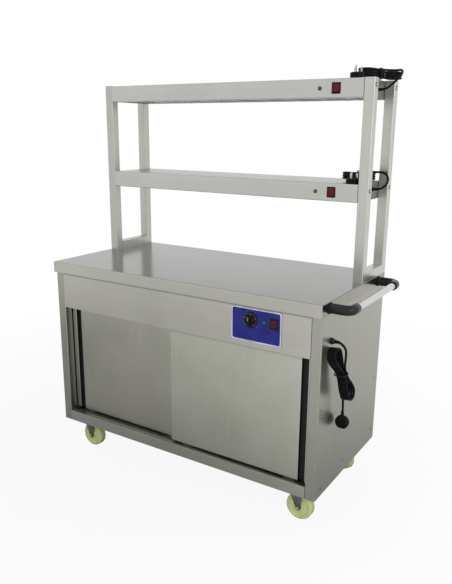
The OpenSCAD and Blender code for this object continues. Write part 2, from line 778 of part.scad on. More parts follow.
// Thermostat behind the fascia, with the bore in which the knob's shaft turns.
module thermostat() placed() color("dimgray") difference() {
  union() {
    y0 = front_face + panel_sheet;
    box(knob_x - thermostat_w / 2, knob_x + thermostat_w / 2, y0, y0 + thermostat_d,
      control_z - thermostat_w / 2, control_z + thermostat_w / 2);
    rod_y(knob_x, control_z, plate_front, y0 + over, bushing_r);
  }
  rod_y(knob_x, control_z, plate_front - over, front_face + 20 + running_fit, shaft_r + running_fit);
}

module control_plate() placed() color("midnightblue") difference() {
  translate([plate_x - plate_w / 2, front_face, plate_z - plate_h / 2])
    rotate([90, 0, 0]) linear_extrude(plate_t) round_rect(plate_w, plate_h, plate_r);
  control_cutouts();
}

// Round pilot lamp whose flange lies on the face at y.
module pilot_lamp(x, y, z) {
  translate([x, y, z]) rotate([90, 0, 0]) rotate_extrude() polygon([
    [0, -18], [lamp_r, -18], [lamp_r, 0], [lamp_flange_r, 0], [lamp_flange_r, 1],
    [lamp_r + 0.8, 1.8], [lamp_r * 0.8, 3.4], [lamp_r * 0.4, 4.2], [0, 4.4]
  ]);
}

module pilot_lamps() placed() color("seagreen") {
  pilot_lamp(cupboard_lamp_x, plate_front, control_z);
  for (z = [lower_shelf_z, upper_shelf_z]) pilot_lamp(shelf_lamp_x, gantry_front, z + shelf_h / 2);
}

// Switch body with a bezel on the face at y and a well for its rocker.
module switch_housing(x, y, z) {
  translate([x, y, z]) rotate([90, 0, 0]) difference() {
    union() {
      translate([-bezel_w / 2, -bezel_h / 2, 0]) linear_extrude(bezel_t) round_rect(bezel_w, bezel_h, 2.5);
      translate([-switch_w / 2, -switch_h / 2, -switch_d]) cube([switch_w, switch_h, switch_d + over / 2]);
    }
    translate([-switch_w / 2 + switch_wall, -switch_h / 2 + switch_wall, -switch_d + 8])
      cube([switch_w - 2 * switch_wall, switch_h - 2 * switch_wall, switch_d]);
    translate([-switch_w, 0, -rocker_pivot]) rotate([0, 90, 0])
      cylinder(h = 2 * switch_w, r = rocker_pin_r + running_fit);
  }
}

module switch_housings() placed() color([0.12, 0.12, 0.13]) {
  switch_housing(cupboard_switch_x, plate_front, control_z);
  for (z = [lower_shelf_z, upper_shelf_z]) switch_housing(shelf_switch_x, gantry_front, z + shelf_h / 2);
}

// Rocker with a dished face and two pivot pins, at rest with its upper end pressed in.
module rocker(x, y, z) {
  h = rocker_half_h;
  translate([x, y + rocker_pivot, z]) rotate([-rocker_tip, 0, 0]) {
    along_x(-rocker_w / 2, rocker_w / 2)
      polygon([
        [-6.6, 0], [-6.9, h * 0.4], [-7.6, h * 0.75], [-8.6, h], [-3, h], [4, h * 0.45],
        [4, -h * 0.45], [-3, -h], [-8.6, -h], [-7.6, -h * 0.75], [-6.9, -h * 0.4]
      ]);
    rod_x(-switch_w / 2 + 0.2, switch_w / 2 - 0.2, 0, 0, rocker_pin_r);
  }
}

module main_rocker() placed() color("firebrick") rocker(cupboard_switch_x, plate_front, control_z);
module upper_rocker() placed() color("firebrick")
  rocker(shelf_switch_x, gantry_front, upper_shelf_z + shelf_h / 2);
module lower_rocker() placed() color("firebrick")
  rocker(shelf_switch_x, gantry_front, lower_shelf_z + shelf_h / 2);

// Dial and bar grip in one, with the shaft that runs in the thermostat.
module thermostat_knob() placed() color([0.1, 0.1, 0.11]) {
  y0 = plate_front - seat_gap;
  translate([knob_x, y0, control_z]) rotate([90, 0, 0]) {
    rotate_extrude() polygon([
      [0, 0], [dial_r, 0], [dial_r, dial_t * 0.5], [dial_r - 1.5, dial_t * 0.75],
      [cap_r + 2, dial_t], [0, dial_t]
    ]);
    difference() {
      translate([0, 0, dial_t / 2]) rotate_extrude() polygon([
        [0, 0], [cap_r, 0], [cap_r, dial_t / 2 + cap_h * 0.35], [cap_r - 1, dial_t / 2 + cap_h * 0.85],
        [cap_r - 3, dial_t / 2 + cap_h], [0, dial_t / 2 + cap_h]
      ]);
      for (s = [0, 1]) mirror([s, 0, 0])
        translate([grip_bar / 2, -cap_r - over, dial_t + cap_h * 0.35]) cube([cap_r, 2 * cap_r + 2 * over, cap_h]);
    }
  }
  rod_y(knob_x, control_z, y0 - dial_t / 2, front_face + 20, shaft_r);
}

// End frame of the gantry: two posts on a bottom rail.
module gantry_frame(x) {
  for (y = [gantry_front, gantry_rear - gantry_post_d]) translate([x, y, worktop_h]) {
    post(gantry_post_w, gantry_post_d, gantry_h, gantry_wall);
    translate([gantry_wall, gantry_wall, gantry_h - 2 * gantry_wall])
      cube([gantry_post_w - 2 * gantry_wall, gantry_post_d - 2 * gantry_wall, 2 * gantry_wall]);
  }
  y0 = gantry_front + gantry_post_d - gantry_wall / 2;
  y1 = gantry_rear - gantry_post_d + gantry_wall / 2;
  difference() {
    box(x, x + gantry_post_w, y0, y1, worktop_h, worktop_h + gantry_rail_h);
    box(x + gantry_wall, x + gantry_post_w - gantry_wall, y0 - over, y1 + over,
      worktop_h + gantry_wall, worktop_h + gantry_rail_h - gantry_wall);
  }
}

module gantry_left_frame() placed() color("lightgray") gantry_frame(left_frame_x);
module gantry_right_frame() placed() color("lightgray") gantry_frame(right_frame_x);

// Folded housing, open below between its lips.
module shelf_housing(z, exit) {
  difference() {
    union() {
      along_x(shelf_x0, shelf_x1) translate([gantry_front, z]) difference() {
        round_rect(gantry_d, shelf_h, shelf_radius);
        translate([shelf_sheet, shelf_sheet])
          round_rect(gantry_d - 2 * shelf_sheet, shelf_h - 2 * shelf_sheet, shelf_radius - shelf_sheet);
      }
      for (x = [shelf_x0, shelf_x1 - shelf_sheet]) along_x(x, x + shelf_sheet)
        translate([gantry_front, z]) round_rect(gantry_d, shelf_h, shelf_radius);
    }
    box(shelf_x0 + shelf_sheet, shelf_x1 - shelf_sheet, gantry_front + shelf_lip, gantry_rear - shelf_lip,
      z - over, z + shelf_sheet + over);
    rod_y(shelf_lamp_x, z + shelf_h / 2, gantry_front - over, gantry_front + shelf_sheet + over,
      lamp_r + cutout_gap);
    w = switch_w / 2 + cutout_gap;
    h = switch_h / 2 + cutout_gap;
    box(shelf_switch_x - w, shelf_switch_x + w, gantry_front - over, gantry_front + shelf_sheet + over,
      z + shelf_h / 2 - h, z + shelf_h / 2 + h);
    rod_x(shelf_x1 - shelf_sheet - over, shelf_x1 + over, exit[1], exit[2], lead_d / 2 + 1 + cutout_gap);
  }
}

module upper_shelf() placed() color("lightgray") shelf_housing(upper_shelf_z, upper_exit);
module lower_shelf() placed() color("lightgray") shelf_housing(lower_shelf_z, lower_exit);

// Trough over the lamps, resting on the housing's lips, with guard wires across.
module shelf_reflectors() placed() color("gainsboro")
  for (z = [lower_shelf_z, upper_shelf_z]) {
    base = z + shelf_sheet;
    y0 = gantry_front + shelf_lip;
    y1 = gantry_rear - shelf_lip;
    edge = shelf_lip - 6;
    x0 = shelf_x0 + shelf_sheet + seat_gap;
    x1 = shelf_x1 - shelf_sheet - seat_gap;
    lower = [
      [y0 - edge + 4, 0], [y0 + 4, 0], [shelf_mid_y - reflector_flat, reflector_h],
      [shelf_mid_y + reflector_flat, reflector_h], [y1 - 4, 0], [y1 + edge - 4, 0]
    ];
    along_x(x0, x1) translate([0, base])
      polygon(concat(lower, [for (i = [5 : -1 : 0]) lower[i] + [0, shelf_sheet]]));
    for (x = [x0 + guard_inset : guard_pitch : x1 - guard_inset / 2])
      rod_y(x, base + shelf_sheet + guard_r - guard_sink, y0 + 2, y1 - 2, guard_r);
  }

// Quartz lamps under each reflector, as many end to end as the housing takes, in ceramic holders.
module heat_lamps() placed() color("whitesmoke") {
  room = shelf_x1 - shelf_x0 - 2 * shelf_sheet;
  count = floor((room + lamp_gap) / (heat_lamp_l + 2 * holder_w + lamp_gap));
  for (z = [lower_shelf_z, upper_shelf_z], k = [0 : count - 1]) {
    wires_top = z + 2 * shelf_sheet + 2 * guard_r - guard_sink;
    ceiling = z + shelf_sheet + reflector_h;
    x0 = shelf_x0 + shelf_sheet + room * (k + 0.5) / count - heat_lamp_l / 2;
    rod_x(x0, x0 + heat_lamp_l, shelf_mid_y, (wires_top + ceiling) / 2, heat_lamp_r);
    for (x = [x0 - holder_w, x0 + heat_lamp_l])
      box(x, x + holder_w, shelf_mid_y - holder_d / 2, shelf_mid_y + holder_d / 2, wires_top + seat_gap, ceiling);
  }
}

// Domed head whose flat side lies on the origin and faces down.
module screw_head(r, h) {
  rotate_extrude($fn = 24) polygon([[0, 0], [r, 0], [r, h * 0.4], [r * 0.6, h * 0.85], [0, h]]);
}

// Fixings of the side panels, as Y and Z, and three small rivets near the right side's front edge.
side_screws = [
  [rear_face - 32, mid_shelf_h - 4], [rear_face - 32, rail_top + 2], [front_face + 242, rail_top + 3],
  [front_face + 46, cabinet_bottom + 24], [front_face + 104, mid_shelf_h - 4]
];
side_screw_r = 3.5;
rivet_rises = [26, 39, 55];
bolt_r = 5;
back_screw_inset = 60;
back_screw_pitch = 200;
module fasteners() placed() color("darkgray") {
  for (s = side_screws) {
    translate([right_face, s[0], s[1]]) rotate([0, 90, 0]) screw_head(side_screw_r, 0.9);
    translate([left_face, s[0], s[1]]) rotate([0, -90, 0]) screw_head(side_screw_r, 0.9);
  }
  for (rise = rivet_rises)
    translate([right_face, front_face + 20, mid_shelf_h + rise]) rotate([0, 90, 0]) screw_head(1.8, 0.6);
  for (y = [gantry_front + gantry_post_d / 2, gantry_rear - gantry_post_d / 2],
       z = [lower_shelf_z + bolt_rise, upper_shelf_z + bolt_rise]) {
    translate([right_frame_x + gantry_post_w, y, z]) rotate([0, 90, 0]) screw_head(bolt_r, 3.2);
    translate([left_frame_x, y, z]) rotate([0, -90, 0]) screw_head(bolt_r, 3.2);
  }
  for (z = [lower_shelf_z, upper_shelf_z],
       x = [shelf_x0 + shelf_screw_inset : shelf_screw_pitch : shelf_x1 - shelf_screw_inset / 2],
       y = [gantry_front + shelf_lip / 2, gantry_rear - shelf_lip / 2])
    translate([x, y, z]) rotate([180, 0, 0]) screw_head(side_screw_r, 1.6);
  for (x = [bay_left + back_screw_inset : back_screw_pitch : bay_right],
       z = [cabinet_bottom + 20, top_under - 20])
    translate([x, rear_face, z]) rotate([-90, 0, 0]) screw_head(side_screw_r, 0.9);
}

module handle_bar() placed() color("gainsboro") {
  y0 = handle_front + elbow_bend + 2 * running_fit;
  y1 = handle_rear - elbow_bend - 2 * running_fit;
  difference() {
    rod_y(bar_x, handle_z, y0, y1, bar_r);
    rod_y(bar_x, handle_z, y0 - over, y1 + over, bar_r - bar_wall);
  }
}

// Moulded elbow: a flange on the worktop's edge, an arm, a bend and a socket for the bar.
module handle_elbow() {
  reach = handle_reach - elbow_bend;
  rotate([0, 90, 0]) cylinder(h = 4, r = elbow_r + 3);
  rotate([0, 90, 0]) cylinder(h = reach, r = elbow_r);
  translate([reach, elbow_bend, 0]) rotate([0, 0, -90])
    rotate_extrude(angle = 90) translate([elbow_bend, 0]) circle(elbow_r);
  translate([handle_reach, elbow_bend, 0]) rotate([-90, 0, 0]) difference() {
    cylinder(h = elbow_socket, r = elbow_r);
    translate([0, 0, running_fit]) cylinder(h = elbow_socket + over, r = bar_r + running_fit);
  }
}

module handle_elbows() placed() color([0.1, 0.1, 0.11]) {
  translate([worktop_w, handle_front, handle_z]) handle_elbow();
  translate([worktop_w, handle_rear, handle_z]) mirror([0, 1, 0]) handle_elbow();
}

// Tapered cable gland along X, whose flange lies on the origin.
module cable_gland(r, length, through, sheet) {
  neck = lead_d / 2 + 1;
  rotate([0, 90, 0]) {
    cylinder(h = length * 0.25, r = r, $fn = 6);
    translate([0, 0, length * 0.2]) cylinder(h = length * 0.35, r1 = r * 0.85, r2 = r * 0.8);
    translate([0, 0, length * 0.5]) cylinder(h = length * 0.5, r1 = r * 0.8, r2 = neck);
  }
  rotate([0, -90, 0]) cylinder(h = sheet + 6, r = through);
}

module cable_glands() placed() color([0.09, 0.09, 0.1]) {
  translate([right_face, gland_y, gland_z]) cable_gland(gland_r, gland_l, gland_r * 0.7, panel_sheet);
  for (e = [upper_exit, lower_exit])
    translate([shelf_x1, e[1], e[2]]) cable_gland(8, grommet_l, lead_d / 2 + 1, shelf_sheet);
}

module mains_lead() placed() color([0.08, 0.08, 0.09]) {
  tube(mains_in, lead_d / 2, 8, [0, 1, 0]);
  tube(mains_out, lead_d / 2, 8, [0, 1, 0]);
}

// Wire tie round the waist of a hank.
module hank_tie(at, run_dir, up, loops) {
  side = cross(up, run_dir);
  half_w = waist_half + lead_d / 2 + tie_r + seat_gap;
  half_h = loops * layer_pitch / 2 + lead_d / 2 + tie_r + seat_gap;
  corner = 4;
  ring = [
    for (k = [0 : 3], a = [0, 45, 90])
      let (
        sx = k == 0 || k == 3 ? 1 : -1,
        sy = k < 2 ? 1 : -1,
        b = 90 * k + a
      )
      at + (sx * (half_w - corner) + corner * cos(b)) * side + (sy * (half_h - corner) + corner * sin(b)) * up
  ];
  n = len(ring);
  sides = 6;
  points = [
    for (i = [0 : n - 1], k = [0 : sides - 1])
      let (
        out = square_to(ring[i] - at, unit(ring[(i + 1) % n] - ring[(i + n - 1) % n])),
        a = 360 * k / sides
      )
      ring[i] + tie_r * (cos(a) * out + sin(a) * run_dir)
  ];
  faces = [
    for (i = [0 : n - 1], k = [0 : sides - 1])
      let (
        a = i * sides + k,
        b = i * sides + (k + 1) % sides,
        c = ((i + 1) % n) * sides + k,
        d = ((i + 1) % n) * sides + (k + 1) % sides
      )
      each [[a, b, c], [b, d, c]]
  ];
  polyhedron(points = points, faces = faces, convexity = 10);
}

module mains_hank() placed() color([0.08, 0.08, 0.09]) {
  tube(mains_hank_path, lead_d / 2, 6, mains_hank_up);
  hank_tie(mains_hank_at, mains_hank_run, mains_hank_up, mains_loops);
}

// Plug with three flat pins, its cord entering at the origin from +Y and its pins pointing up.
module plug() {
  end_w = 20;
  pin_pitch = 22.2;
  flat_pins_y = 8 - plug_l / 2;
  translate([0, -relief_l, 0]) rotate([-90, 0, 0])
    cylinder(h = relief_l, r1 = plug_t * 0.36, r2 = lead_d / 2 + 0.3);
  translate([0, -relief_l, -plug_back]) {
    linear_extrude(plug_t) intersection() {
      translate([0, -plug_l / 2]) circle(norm([plug_l, end_w]) / 2);
      translate([-plug_w / 2, -plug_l]) square([plug_w, plug_l]);
    }
    translate([-2, flat_pins_y - pin_pitch - 4, plug_t]) cube([4, 8, 22.7]);
    for (s = [-1, 1]) translate([s * pin_pitch / 2 - 3.2, flat_pins_y - 2, plug_t]) cube([6.4, 4, 17.7]);
  }
}

module mains_plug() placed() color([0.08, 0.08, 0.09])
  translate(mains_plug_at) rotate([90, 0, 180]) plug();

module upper_lead() placed() color([0.08, 0.08, 0.09]) {
  tube(upper_in, lead_d / 2, 8, [0, 1, 0]);
  tube(upper_out, lead_d / 2, 8, [0, 0, 1]);
}

module upper_hank() placed() color([0.08, 0.08, 0.09]) {
  tube(upper_hank_path, lead_d / 2, 6, [0, 0, 1]);
  hank_tie(upper_hank_at, upper_hank_run, [0, 0, 1], shelf_loops);
}

module upper_plug() placed() color([0.08, 0.08, 0.09]) translate(upper_plug_at) plug();

module lower_lead() placed() color([0.08, 0.08, 0.09]) {
  tube(lower_in, lead_d / 2, 8, [0, 1, 0]);
  tube(lower_out, lead_d / 2, 8, [0, 0, 1]);
}

module lower_hank() placed() color([0.08, 0.08, 0.09]) {
  tube(lower_hank_path, lead_d / 2, 6, [0, 0, 1]);
  hank_tie(lower_hank_at, lower_hank_run, [0, 0, 1], shelf_loops);
}

module lower_plug() placed() color([0.08, 0.08, 0.09]) translate(lower_plug_at) plug();

// Section of a door, with its lip and grip channel at the origin's side.
module door_section(lip, inset) {
  r = door_radius - inset;
  translate([inset, inset]) round_rect(lip - 2 * inset, door_t - 2 * inset, r);
  translate([lip + grip_w + inset, inset])
    round_rect(door_w - lip - grip_w - 2 * inset, door_t - 2 * inset, r);
  translate([door_radius, grip_d + inset]) square([door_w - 2 * door_radius, door_t - grip_d - 2 * inset]);
}

// Outer skin: a folded pan with the grip channel along one edge, closed at top and bottom.
module door_skin(lip) {
  difference() {
    linear_extrude(door_h) door_section(lip, 0);
    translate([0, 0, door_sheet]) linear_extrude(door_h - 2 * door_sheet) door_section(lip, door_sheet);
    translate([door_return, door_t - door_sheet - over / 2, door_return])
      cube([door_w - 2 * door_return, door_sheet + over, door_h - 2 * door_return]);
  }
}

// Inner liner with its insulation, filling the pan and flush with its rear returns.
module door_liner(lip) {
  translate([0, 0, door_sheet]) linear_extrude(door_h - 2 * door_sheet) door_section(lip, door_sheet);
  translate([door_return, door_t - 2 * door_sheet, door_return])
    cube([door_w - 2 * door_return, 2 * door_sheet, door_h - 2 * door_return]);
}

// Two hangers with their roller pins above the door, and two guides below it.
module door_hangers() {
  axis_z = ledge_top + seat_gap + roller_r - door_bottom;
  for (x = [roller_inset, door_w - roller_inset]) {
    translate([x - foot_l / 2, 2, door_h]) cube([foot_l, door_t - 4, hanger_t]);
    translate([x - foot_l / 4, upright_y, door_h + hanger_t / 2])
      cube([foot_l / 2, hanger_t, axis_z - door_h + roller_r * 0.6]);
    rod_y(x, axis_z, roller_back - roller_w - 1, upright_y + hanger_t / 2, roller_pin_r);
    rod_y(x, axis_z, roller_back + 0.2, upright_y + hanger_t / 2, roller_pin_r + 1.5);
    rod_y(x, axis_z, roller_back - roller_w - 1, roller_back - roller_w - 0.2, roller_pin_r + 1.5);
    translate([x - guide_l / 2, (door_t - guide_t) / 2, -guide_drop]) cube([guide_l, guide_t, guide_drop]);
  }
}

// Nylon roller on a hanger's pin.
module door_roller(k) {
  x = k == 1 ? roller_inset : door_w - roller_inset;
  translate([x, roller_back, ledge_top + seat_gap + roller_r - door_bottom]) rotate([90, 0, 0])
    rotate_extrude() polygon([
      [roller_pin_r + running_fit, 0], [roller_r - 1, 0], [roller_r, 1], [roller_r, roller_w - 1],
      [roller_r - 1, roller_w], [roller_pin_r + running_fit, roller_w]
    ]);
}

module left_door_place() {
  placed() translate([left_door_x, rear_door_y, door_bottom]) children();
}

module right_door_place() {
  placed() translate([right_door_x, front_door_y, door_bottom]) mirror([1, 0, 0]) children();
}

module left_door() color("silver") left_door_place() door_skin(left_lip);
module left_door_liner() color("gainsboro") left_door_place() door_liner(left_lip);
module left_door_hangers() color("darkgray") left_door_place() door_hangers();
module left_door_roller_1() color("ivory") left_door_place() door_roller(1);
module left_door_roller_2() color("ivory") left_door_place() door_roller(2);
module right_door() color("silver") right_door_place() door_skin(right_lip);
module right_door_liner() color("gainsboro") right_door_place() door_liner(right_lip);
module right_door_hangers() color("darkgray") right_door_place() door_hangers();
module right_door_roller_1() color("ivory") right_door_place() door_roller(1);
module right_door_roller_2() color("ivory") right_door_place() door_roller(2);

// Plate, upper race and kingpin of each castor, with four bolts in the plate.
module castor_plates() placed() color("lightsteelblue")
  for (c = castors) translate([c[0], c[1], 0]) {
    plate_z0 = castor_h - castor_plate_t;
    translate([-castor_plate_l / 2, -castor_plate_w / 2, plate_z0])
      linear_extrude(castor_plate_t) round_rect(castor_plate_l, castor_plate_w, 6);
    rotate_extrude() polygon([
      [0, plate_z0 + over], [race_r, plate_z0 + over], [race_r, crown_top + 3], [race_r - 3, crown_top + seat_gap],
      [kingpin_r, crown_top + seat_gap], [kingpin_r, crown_z - seat_gap], [kingpin_r + 3, crown_z - seat_gap],
      [kingpin_r + 2, crown_z - 4], [0, crown_z - 4]
    ]);
    for (x = [-1, 1], y = [-1, 1])
      translate([x * (castor_plate_l / 2 - 10), y * (castor_plate_w / 2 - 9), plate_z0])
        rotate([180, 0, 0]) cylinder(h = 5, r = 5.5, $fn = 6);
  }

// Fork with its crown, lower race and legs, and the axle bolt across it.
module fork() {
  crown_r = race_r + 1;
  leg_r = 11;
  difference() {
    union() {
      rotate_extrude() polygon([
        [kingpin_r + running_fit, crown_z], [crown_r, crown_z], [crown_r, crown_z + fork_t],
        [race_r - 4, crown_top - 1], [race_r - 5, crown_top], [kingpin_r + running_fit, crown_top]
      ]);
      for (s = [-1, 1]) translate([0, s * (fork_inner + fork_t / 2) + fork_t / 2, 0])
        rotate([90, 0, 0]) linear_extrude(fork_t) {
          translate([trail, wheel_r]) circle(leg_r);
          polygon([
            [trail - leg_r, wheel_r], [trail + leg_r, wheel_r], [trail + leg_r, crown_z - 12],
            [trail - 6, crown_z + fork_t], [-18, crown_z + fork_t], [-6, crown_z - 14]
          ]);
        }
    }
    rod_y(trail, wheel_r, -hub_w, hub_w, axle_r + running_fit);
  }
  rod_y(trail, wheel_r, -fork_inner - fork_t, fork_inner + fork_t, axle_r);
  for (s = [0, 1]) mirror([0, s, 0]) translate([trail, -fork_inner - fork_t, wheel_r]) rotate([90, 0, 0]) {
    cylinder(h = 5, r = 8.5, $fn = 6);
    cylinder(h = 8, r = axle_r);
  }
}

// One-piece wheel with a round-shouldered tread, a dished face and a raised hub.
module wheel() {
  h = wheel_w / 2;
  shoulder = 6;
  rim_r = wheel_r - 10;
  dish = h - 5;
  translate([trail, 0, wheel_r]) rotate([90, 0, 0]) rotate_extrude($fn = 96) {
    translate([hub_r, -dish]) square([wheel_r - shoulder - hub_r, 2 * dish]);
    translate([rim_r, -h]) square([wheel_r - shoulder - rim_r, wheel_w]);
    translate([rim_r, -h + shoulder]) square([wheel_r - rim_r, wheel_w - 2 * shoulder]);
    for (s = [-1, 1]) translate([wheel_r - shoulder, s * (h - shoulder)]) circle(shoulder);
    translate([axle_r + running_fit, -hub_w / 2]) square([hub_r - axle_r - running_fit, hub_w]);
  }
}

module castor_place(k) {
  placed() translate([castors[k][0], castors[k][1], 0]) rotate([0, 0, castors[k][2]]) children();
}

module front_left_fork() color("slategray") castor_place(0) fork();
module front_right_fork() color("slategray") castor_place(1) fork();
module rear_left_fork() color("slategray") castor_place(2) fork();
module rear_right_fork() color("slategray") castor_place(3) fork();
module front_left_wheel() color("khaki") castor_place(0) wheel();
module front_right_wheel() color("khaki") castor_place(1) wheel();
module rear_left_wheel() color("khaki") castor_place(2) wheel();
module rear_right_wheel() color("khaki") castor_place(3) wheel();

worktop();
worktop_channels();
corner_posts();
left_side_panel();
right_side_panel();
back_panel();
base_deck();
mid_shelf();
fascia();
bottom_rail();
base_frame();
top_track();
bottom_track();
heating_element();
thermostat();
control_plate();
pilot_lamps();
switch_housings();
gantry_left_frame();
gantry_right_frame();
upper_shelf();
lower_shelf();
shelf_reflectors();
heat_lamps();
fasteners();
handle_bar();
handle_elbows();
cable_glands();
mains_lead();
mains_hank();
mains_plug();
upper_lead();
upper_hank();
upper_plug();
lower_lead();
lower_hank();
lower_plug();
castor_plates();
thermostat_knob();
main_rocker();
upper_rocker();
lower_rocker();
left_door();
left_door_liner();
left_door_hangers();
left_door_roller_1();
left_door_roller_2();
right_door();
right_door_liner();
right_door_hangers();
right_door_roller_1();
right_door_roller_2();
front_left_fork();
front_right_fork();
rear_left_fork();
rear_right_fork();
front_left_wheel();
front_right_wheel();
rear_left_wheel();
rear_right_wheel();
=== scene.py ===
# Mobile hot cupboard with sliding doors, a heated two-tier gantry, a push handle, castors and three leads.
# Metres throughout; X runs along the front, Y from front to back, Z up from the floor.
import math

import bmesh
import bpy
from mathutils import Matrix, Vector


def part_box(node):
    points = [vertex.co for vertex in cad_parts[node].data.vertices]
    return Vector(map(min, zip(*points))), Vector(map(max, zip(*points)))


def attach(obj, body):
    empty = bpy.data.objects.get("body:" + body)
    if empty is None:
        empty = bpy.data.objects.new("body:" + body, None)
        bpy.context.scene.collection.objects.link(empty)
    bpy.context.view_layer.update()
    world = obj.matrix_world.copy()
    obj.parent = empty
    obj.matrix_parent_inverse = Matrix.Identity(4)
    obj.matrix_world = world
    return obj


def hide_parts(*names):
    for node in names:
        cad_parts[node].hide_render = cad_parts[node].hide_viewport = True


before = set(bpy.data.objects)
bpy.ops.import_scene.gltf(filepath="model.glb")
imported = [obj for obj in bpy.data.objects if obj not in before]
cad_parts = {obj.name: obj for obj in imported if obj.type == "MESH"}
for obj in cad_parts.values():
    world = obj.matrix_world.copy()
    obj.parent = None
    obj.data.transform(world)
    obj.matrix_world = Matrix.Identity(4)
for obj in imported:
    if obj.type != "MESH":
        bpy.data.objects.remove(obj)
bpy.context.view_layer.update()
scene = bpy.context.scene
alongX, alongY, alongZ = Vector((1, 0, 0)), Vector((0, 1, 0)), Vector((0, 0, 1))
corners = ("front_left", "front_right", "rear_left", "rear_right")
planShift = Vector((0.6445, 0.28675, 0))  # from the worktop's front left corner to the middle of the part


# A place measured from the worktop's front left corner, in the frame
def place(x, y, z):
    return Vector((x, y, z)) - planShift


def linked(name, data):
    made = bpy.data.objects.new(name, data)
    scene.collection.objects.link(made)
    return made


# Camera, as the photograph was taken: angles in degrees, focal length, centre and image in pixels
view = {
    "at": (1.3184, -2.0528, 1.3538),
    "turn": 32.306,
    "tilt": -14.705,
    "roll": 0.487,
    "focal": 630.58,
    "centre": (227.28, 294.06),
    "image": (452, 584),
    "sensor": 36,
    "clip": (0.05, 60),
}


def makeCamera(look):
    turn, tilt, roll = (math.radians(look[k]) for k in ("turn", "tilt", "roll"))
    forward = Vector((-math.sin(turn) * math.cos(tilt), math.cos(turn) * math.cos(tilt), math.sin(tilt)))
    right = Vector((math.cos(turn), math.sin(turn), 0))
    up = right.cross(forward)
    side = math.cos(roll) * right + math.sin(roll) * up
    top = -math.sin(roll) * right + math.cos(roll) * up
    data = bpy.data.cameras.new("camera")
    wide, tall = look["image"]
    data.sensor_width = look["sensor"]
    data.lens = look["focal"] / tall * look["sensor"]
    data.shift_x = (wide / 2 - look["centre"][0]) / tall
    data.shift_y = (look["centre"][1] - tall / 2) / tall
    data.clip_start, data.clip_end = look["clip"]
    camera = linked("camera", data)
    turned = Matrix((side, top, -forward)).transposed().to_4x4()
    camera.matrix_world = Matrix.Translation(Vector(look["at"])) @ turned
    scene.camera = camera


makeCamera(view)
print("camera is in place")


# Leads: what the three share. stations are shares of a hank's length, foldAngles are degrees round its ends.
lead = {
    "radius": 0.004, "foldRadius": 0.024, "layerPitch": 0.0087, "leadIn": 0.012, "tip": 0.006,
    "plugRise": 0.00732, "stations": (-0.5, -0.32, -0.15, 0, 0.15, 0.32, 0.5),
    "foldAngles": (30, 60, 90, 120, 150), "smoothSteps": 4, "tieRadius": 0.0012, "tieCorner": 0.004,
    "tieTurns": 2, "tiePitch": 2.1, "gap": 0.0003,
}


def unit(x, y, z):
    return Vector((x, y, z)).normalized()


# Loops wound along run and stacked along up, narrow at the waist, with a fold at both ends
def hankPath(at, run, up, length, loops):
    side = up.cross(run)
    waist = lead["layerPitch"] / 2
    fold = lead["foldRadius"]
    stations = [s * length for s in lead["stations"]]
    top = loops / 2

    def width(s):
        return fold - (fold - waist) * math.cos(math.pi * s / length) ** 2

    def turn(layer, end):
        angles = [math.radians(a) for a in lead["foldAngles"]]
        return [(layer, end * fold * math.cos(a), end * (length / 2 + fold * math.sin(a))) for a in angles]

    path = [(top, waist, -lead["leadIn"]), (top, waist, -lead["leadIn"] / 3)]
    for k in range(loops):
        path += [(top - k, width(s), s) for s in stations if k > 0 or s >= 0]
        path += turn(top - k, 1)
        path += [(top - k - (0.5 + s / length), -width(s), -s) for s in stations]
        path += turn(top - k - 1, -1)
    path += [(top - loops, width(s), s) for s in stations if s <= 0]
    path += [(top - loops, waist, lead["leadIn"] / 3), (top - loops, waist, lead["leadIn"])]
    return [at + layer * lead["layerPitch"] * up + across * side + along * run
            for layer, across, along in path]


# Smooth curve through all the points, with steps pieces from each to the next
def smoothPath(points, steps):
    last = len(points) - 1
    path = []
    for i in range(last):
        a, b, c, d = points[max(i - 1, 0)], points[i], points[i + 1], points[min(i + 2, last)]
        for k in range(steps):
            t = k / steps
            path.append(0.5 * (2 * b + (c - a) * t + (2 * a - 5 * b + 4 * c - d) * t * t
                               + (3 * b - a - 3 * c + d) * t ** 3))
    return path + [points[last]]


def pathLength(path):
    return sum((b - a).length for a, b in zip(path, path[1:]))


def curvePiece(name, path, radius, detail, finish, replaced):
    data = bpy.data.curves.new(name, "CURVE")
    data.dimensions = "3D"
    data.bevel_depth = radius
    data.bevel_resolution = detail
    data.use_fill_caps = True
    spline = data.splines.new("POLY")
    spline.points.add(len(path) - 1)
    for point, at in zip(spline.points, path):
        point.co = (*at, 1)
    spline.use_smooth = True
    data.materials.append(finishes[finish])
    piece = linked(name, data)
    settle(piece, "cupboard", replaced)
    return piece


# Wire tie wound round a hank's waist, as a rounded box with 16 points a turn
def tiePath(at, run, up, loops):
    side = up.cross(run)
    clear = lead["radius"] + lead["tieRadius"] + lead["gap"]
    halfWide = lead["layerPitch"] / 2 + clear
    halfHigh = loops * lead["layerPitch"] / 2 + clear
    corner = lead["tieCorner"]
    total = lead["tieTurns"] * 16
    path = []
    for i in range(total + 1):
        quarter, step = divmod(i % 16, 4)
        a = math.radians(90 * quarter + 30 * min(step, 3))
        sideSign = 1 if quarter in (0, 3) else -1
        upSign = 1 if quarter < 2 else -1
        path.append(at + (sideSign * (halfWide - corner) + corner * math.cos(a)) * side
                    + (upSign * (halfHigh - corner) + corner * math.sin(a)) * up
                    + (i / total - 0.5) * 2 * lead["tieRadius"] * lead["tiePitch"] * run)
    return path


# Height of a hank's middle above the shelf that it and its tie lie on
def riseOf(loops):
    return 2 * lead["gap"] + 2 * lead["tieRadius"] + lead["radius"] + loops * lead["layerPitch"] / 2


def pathFrom(start, *points):
    return [start + Vector(p) for p in points]


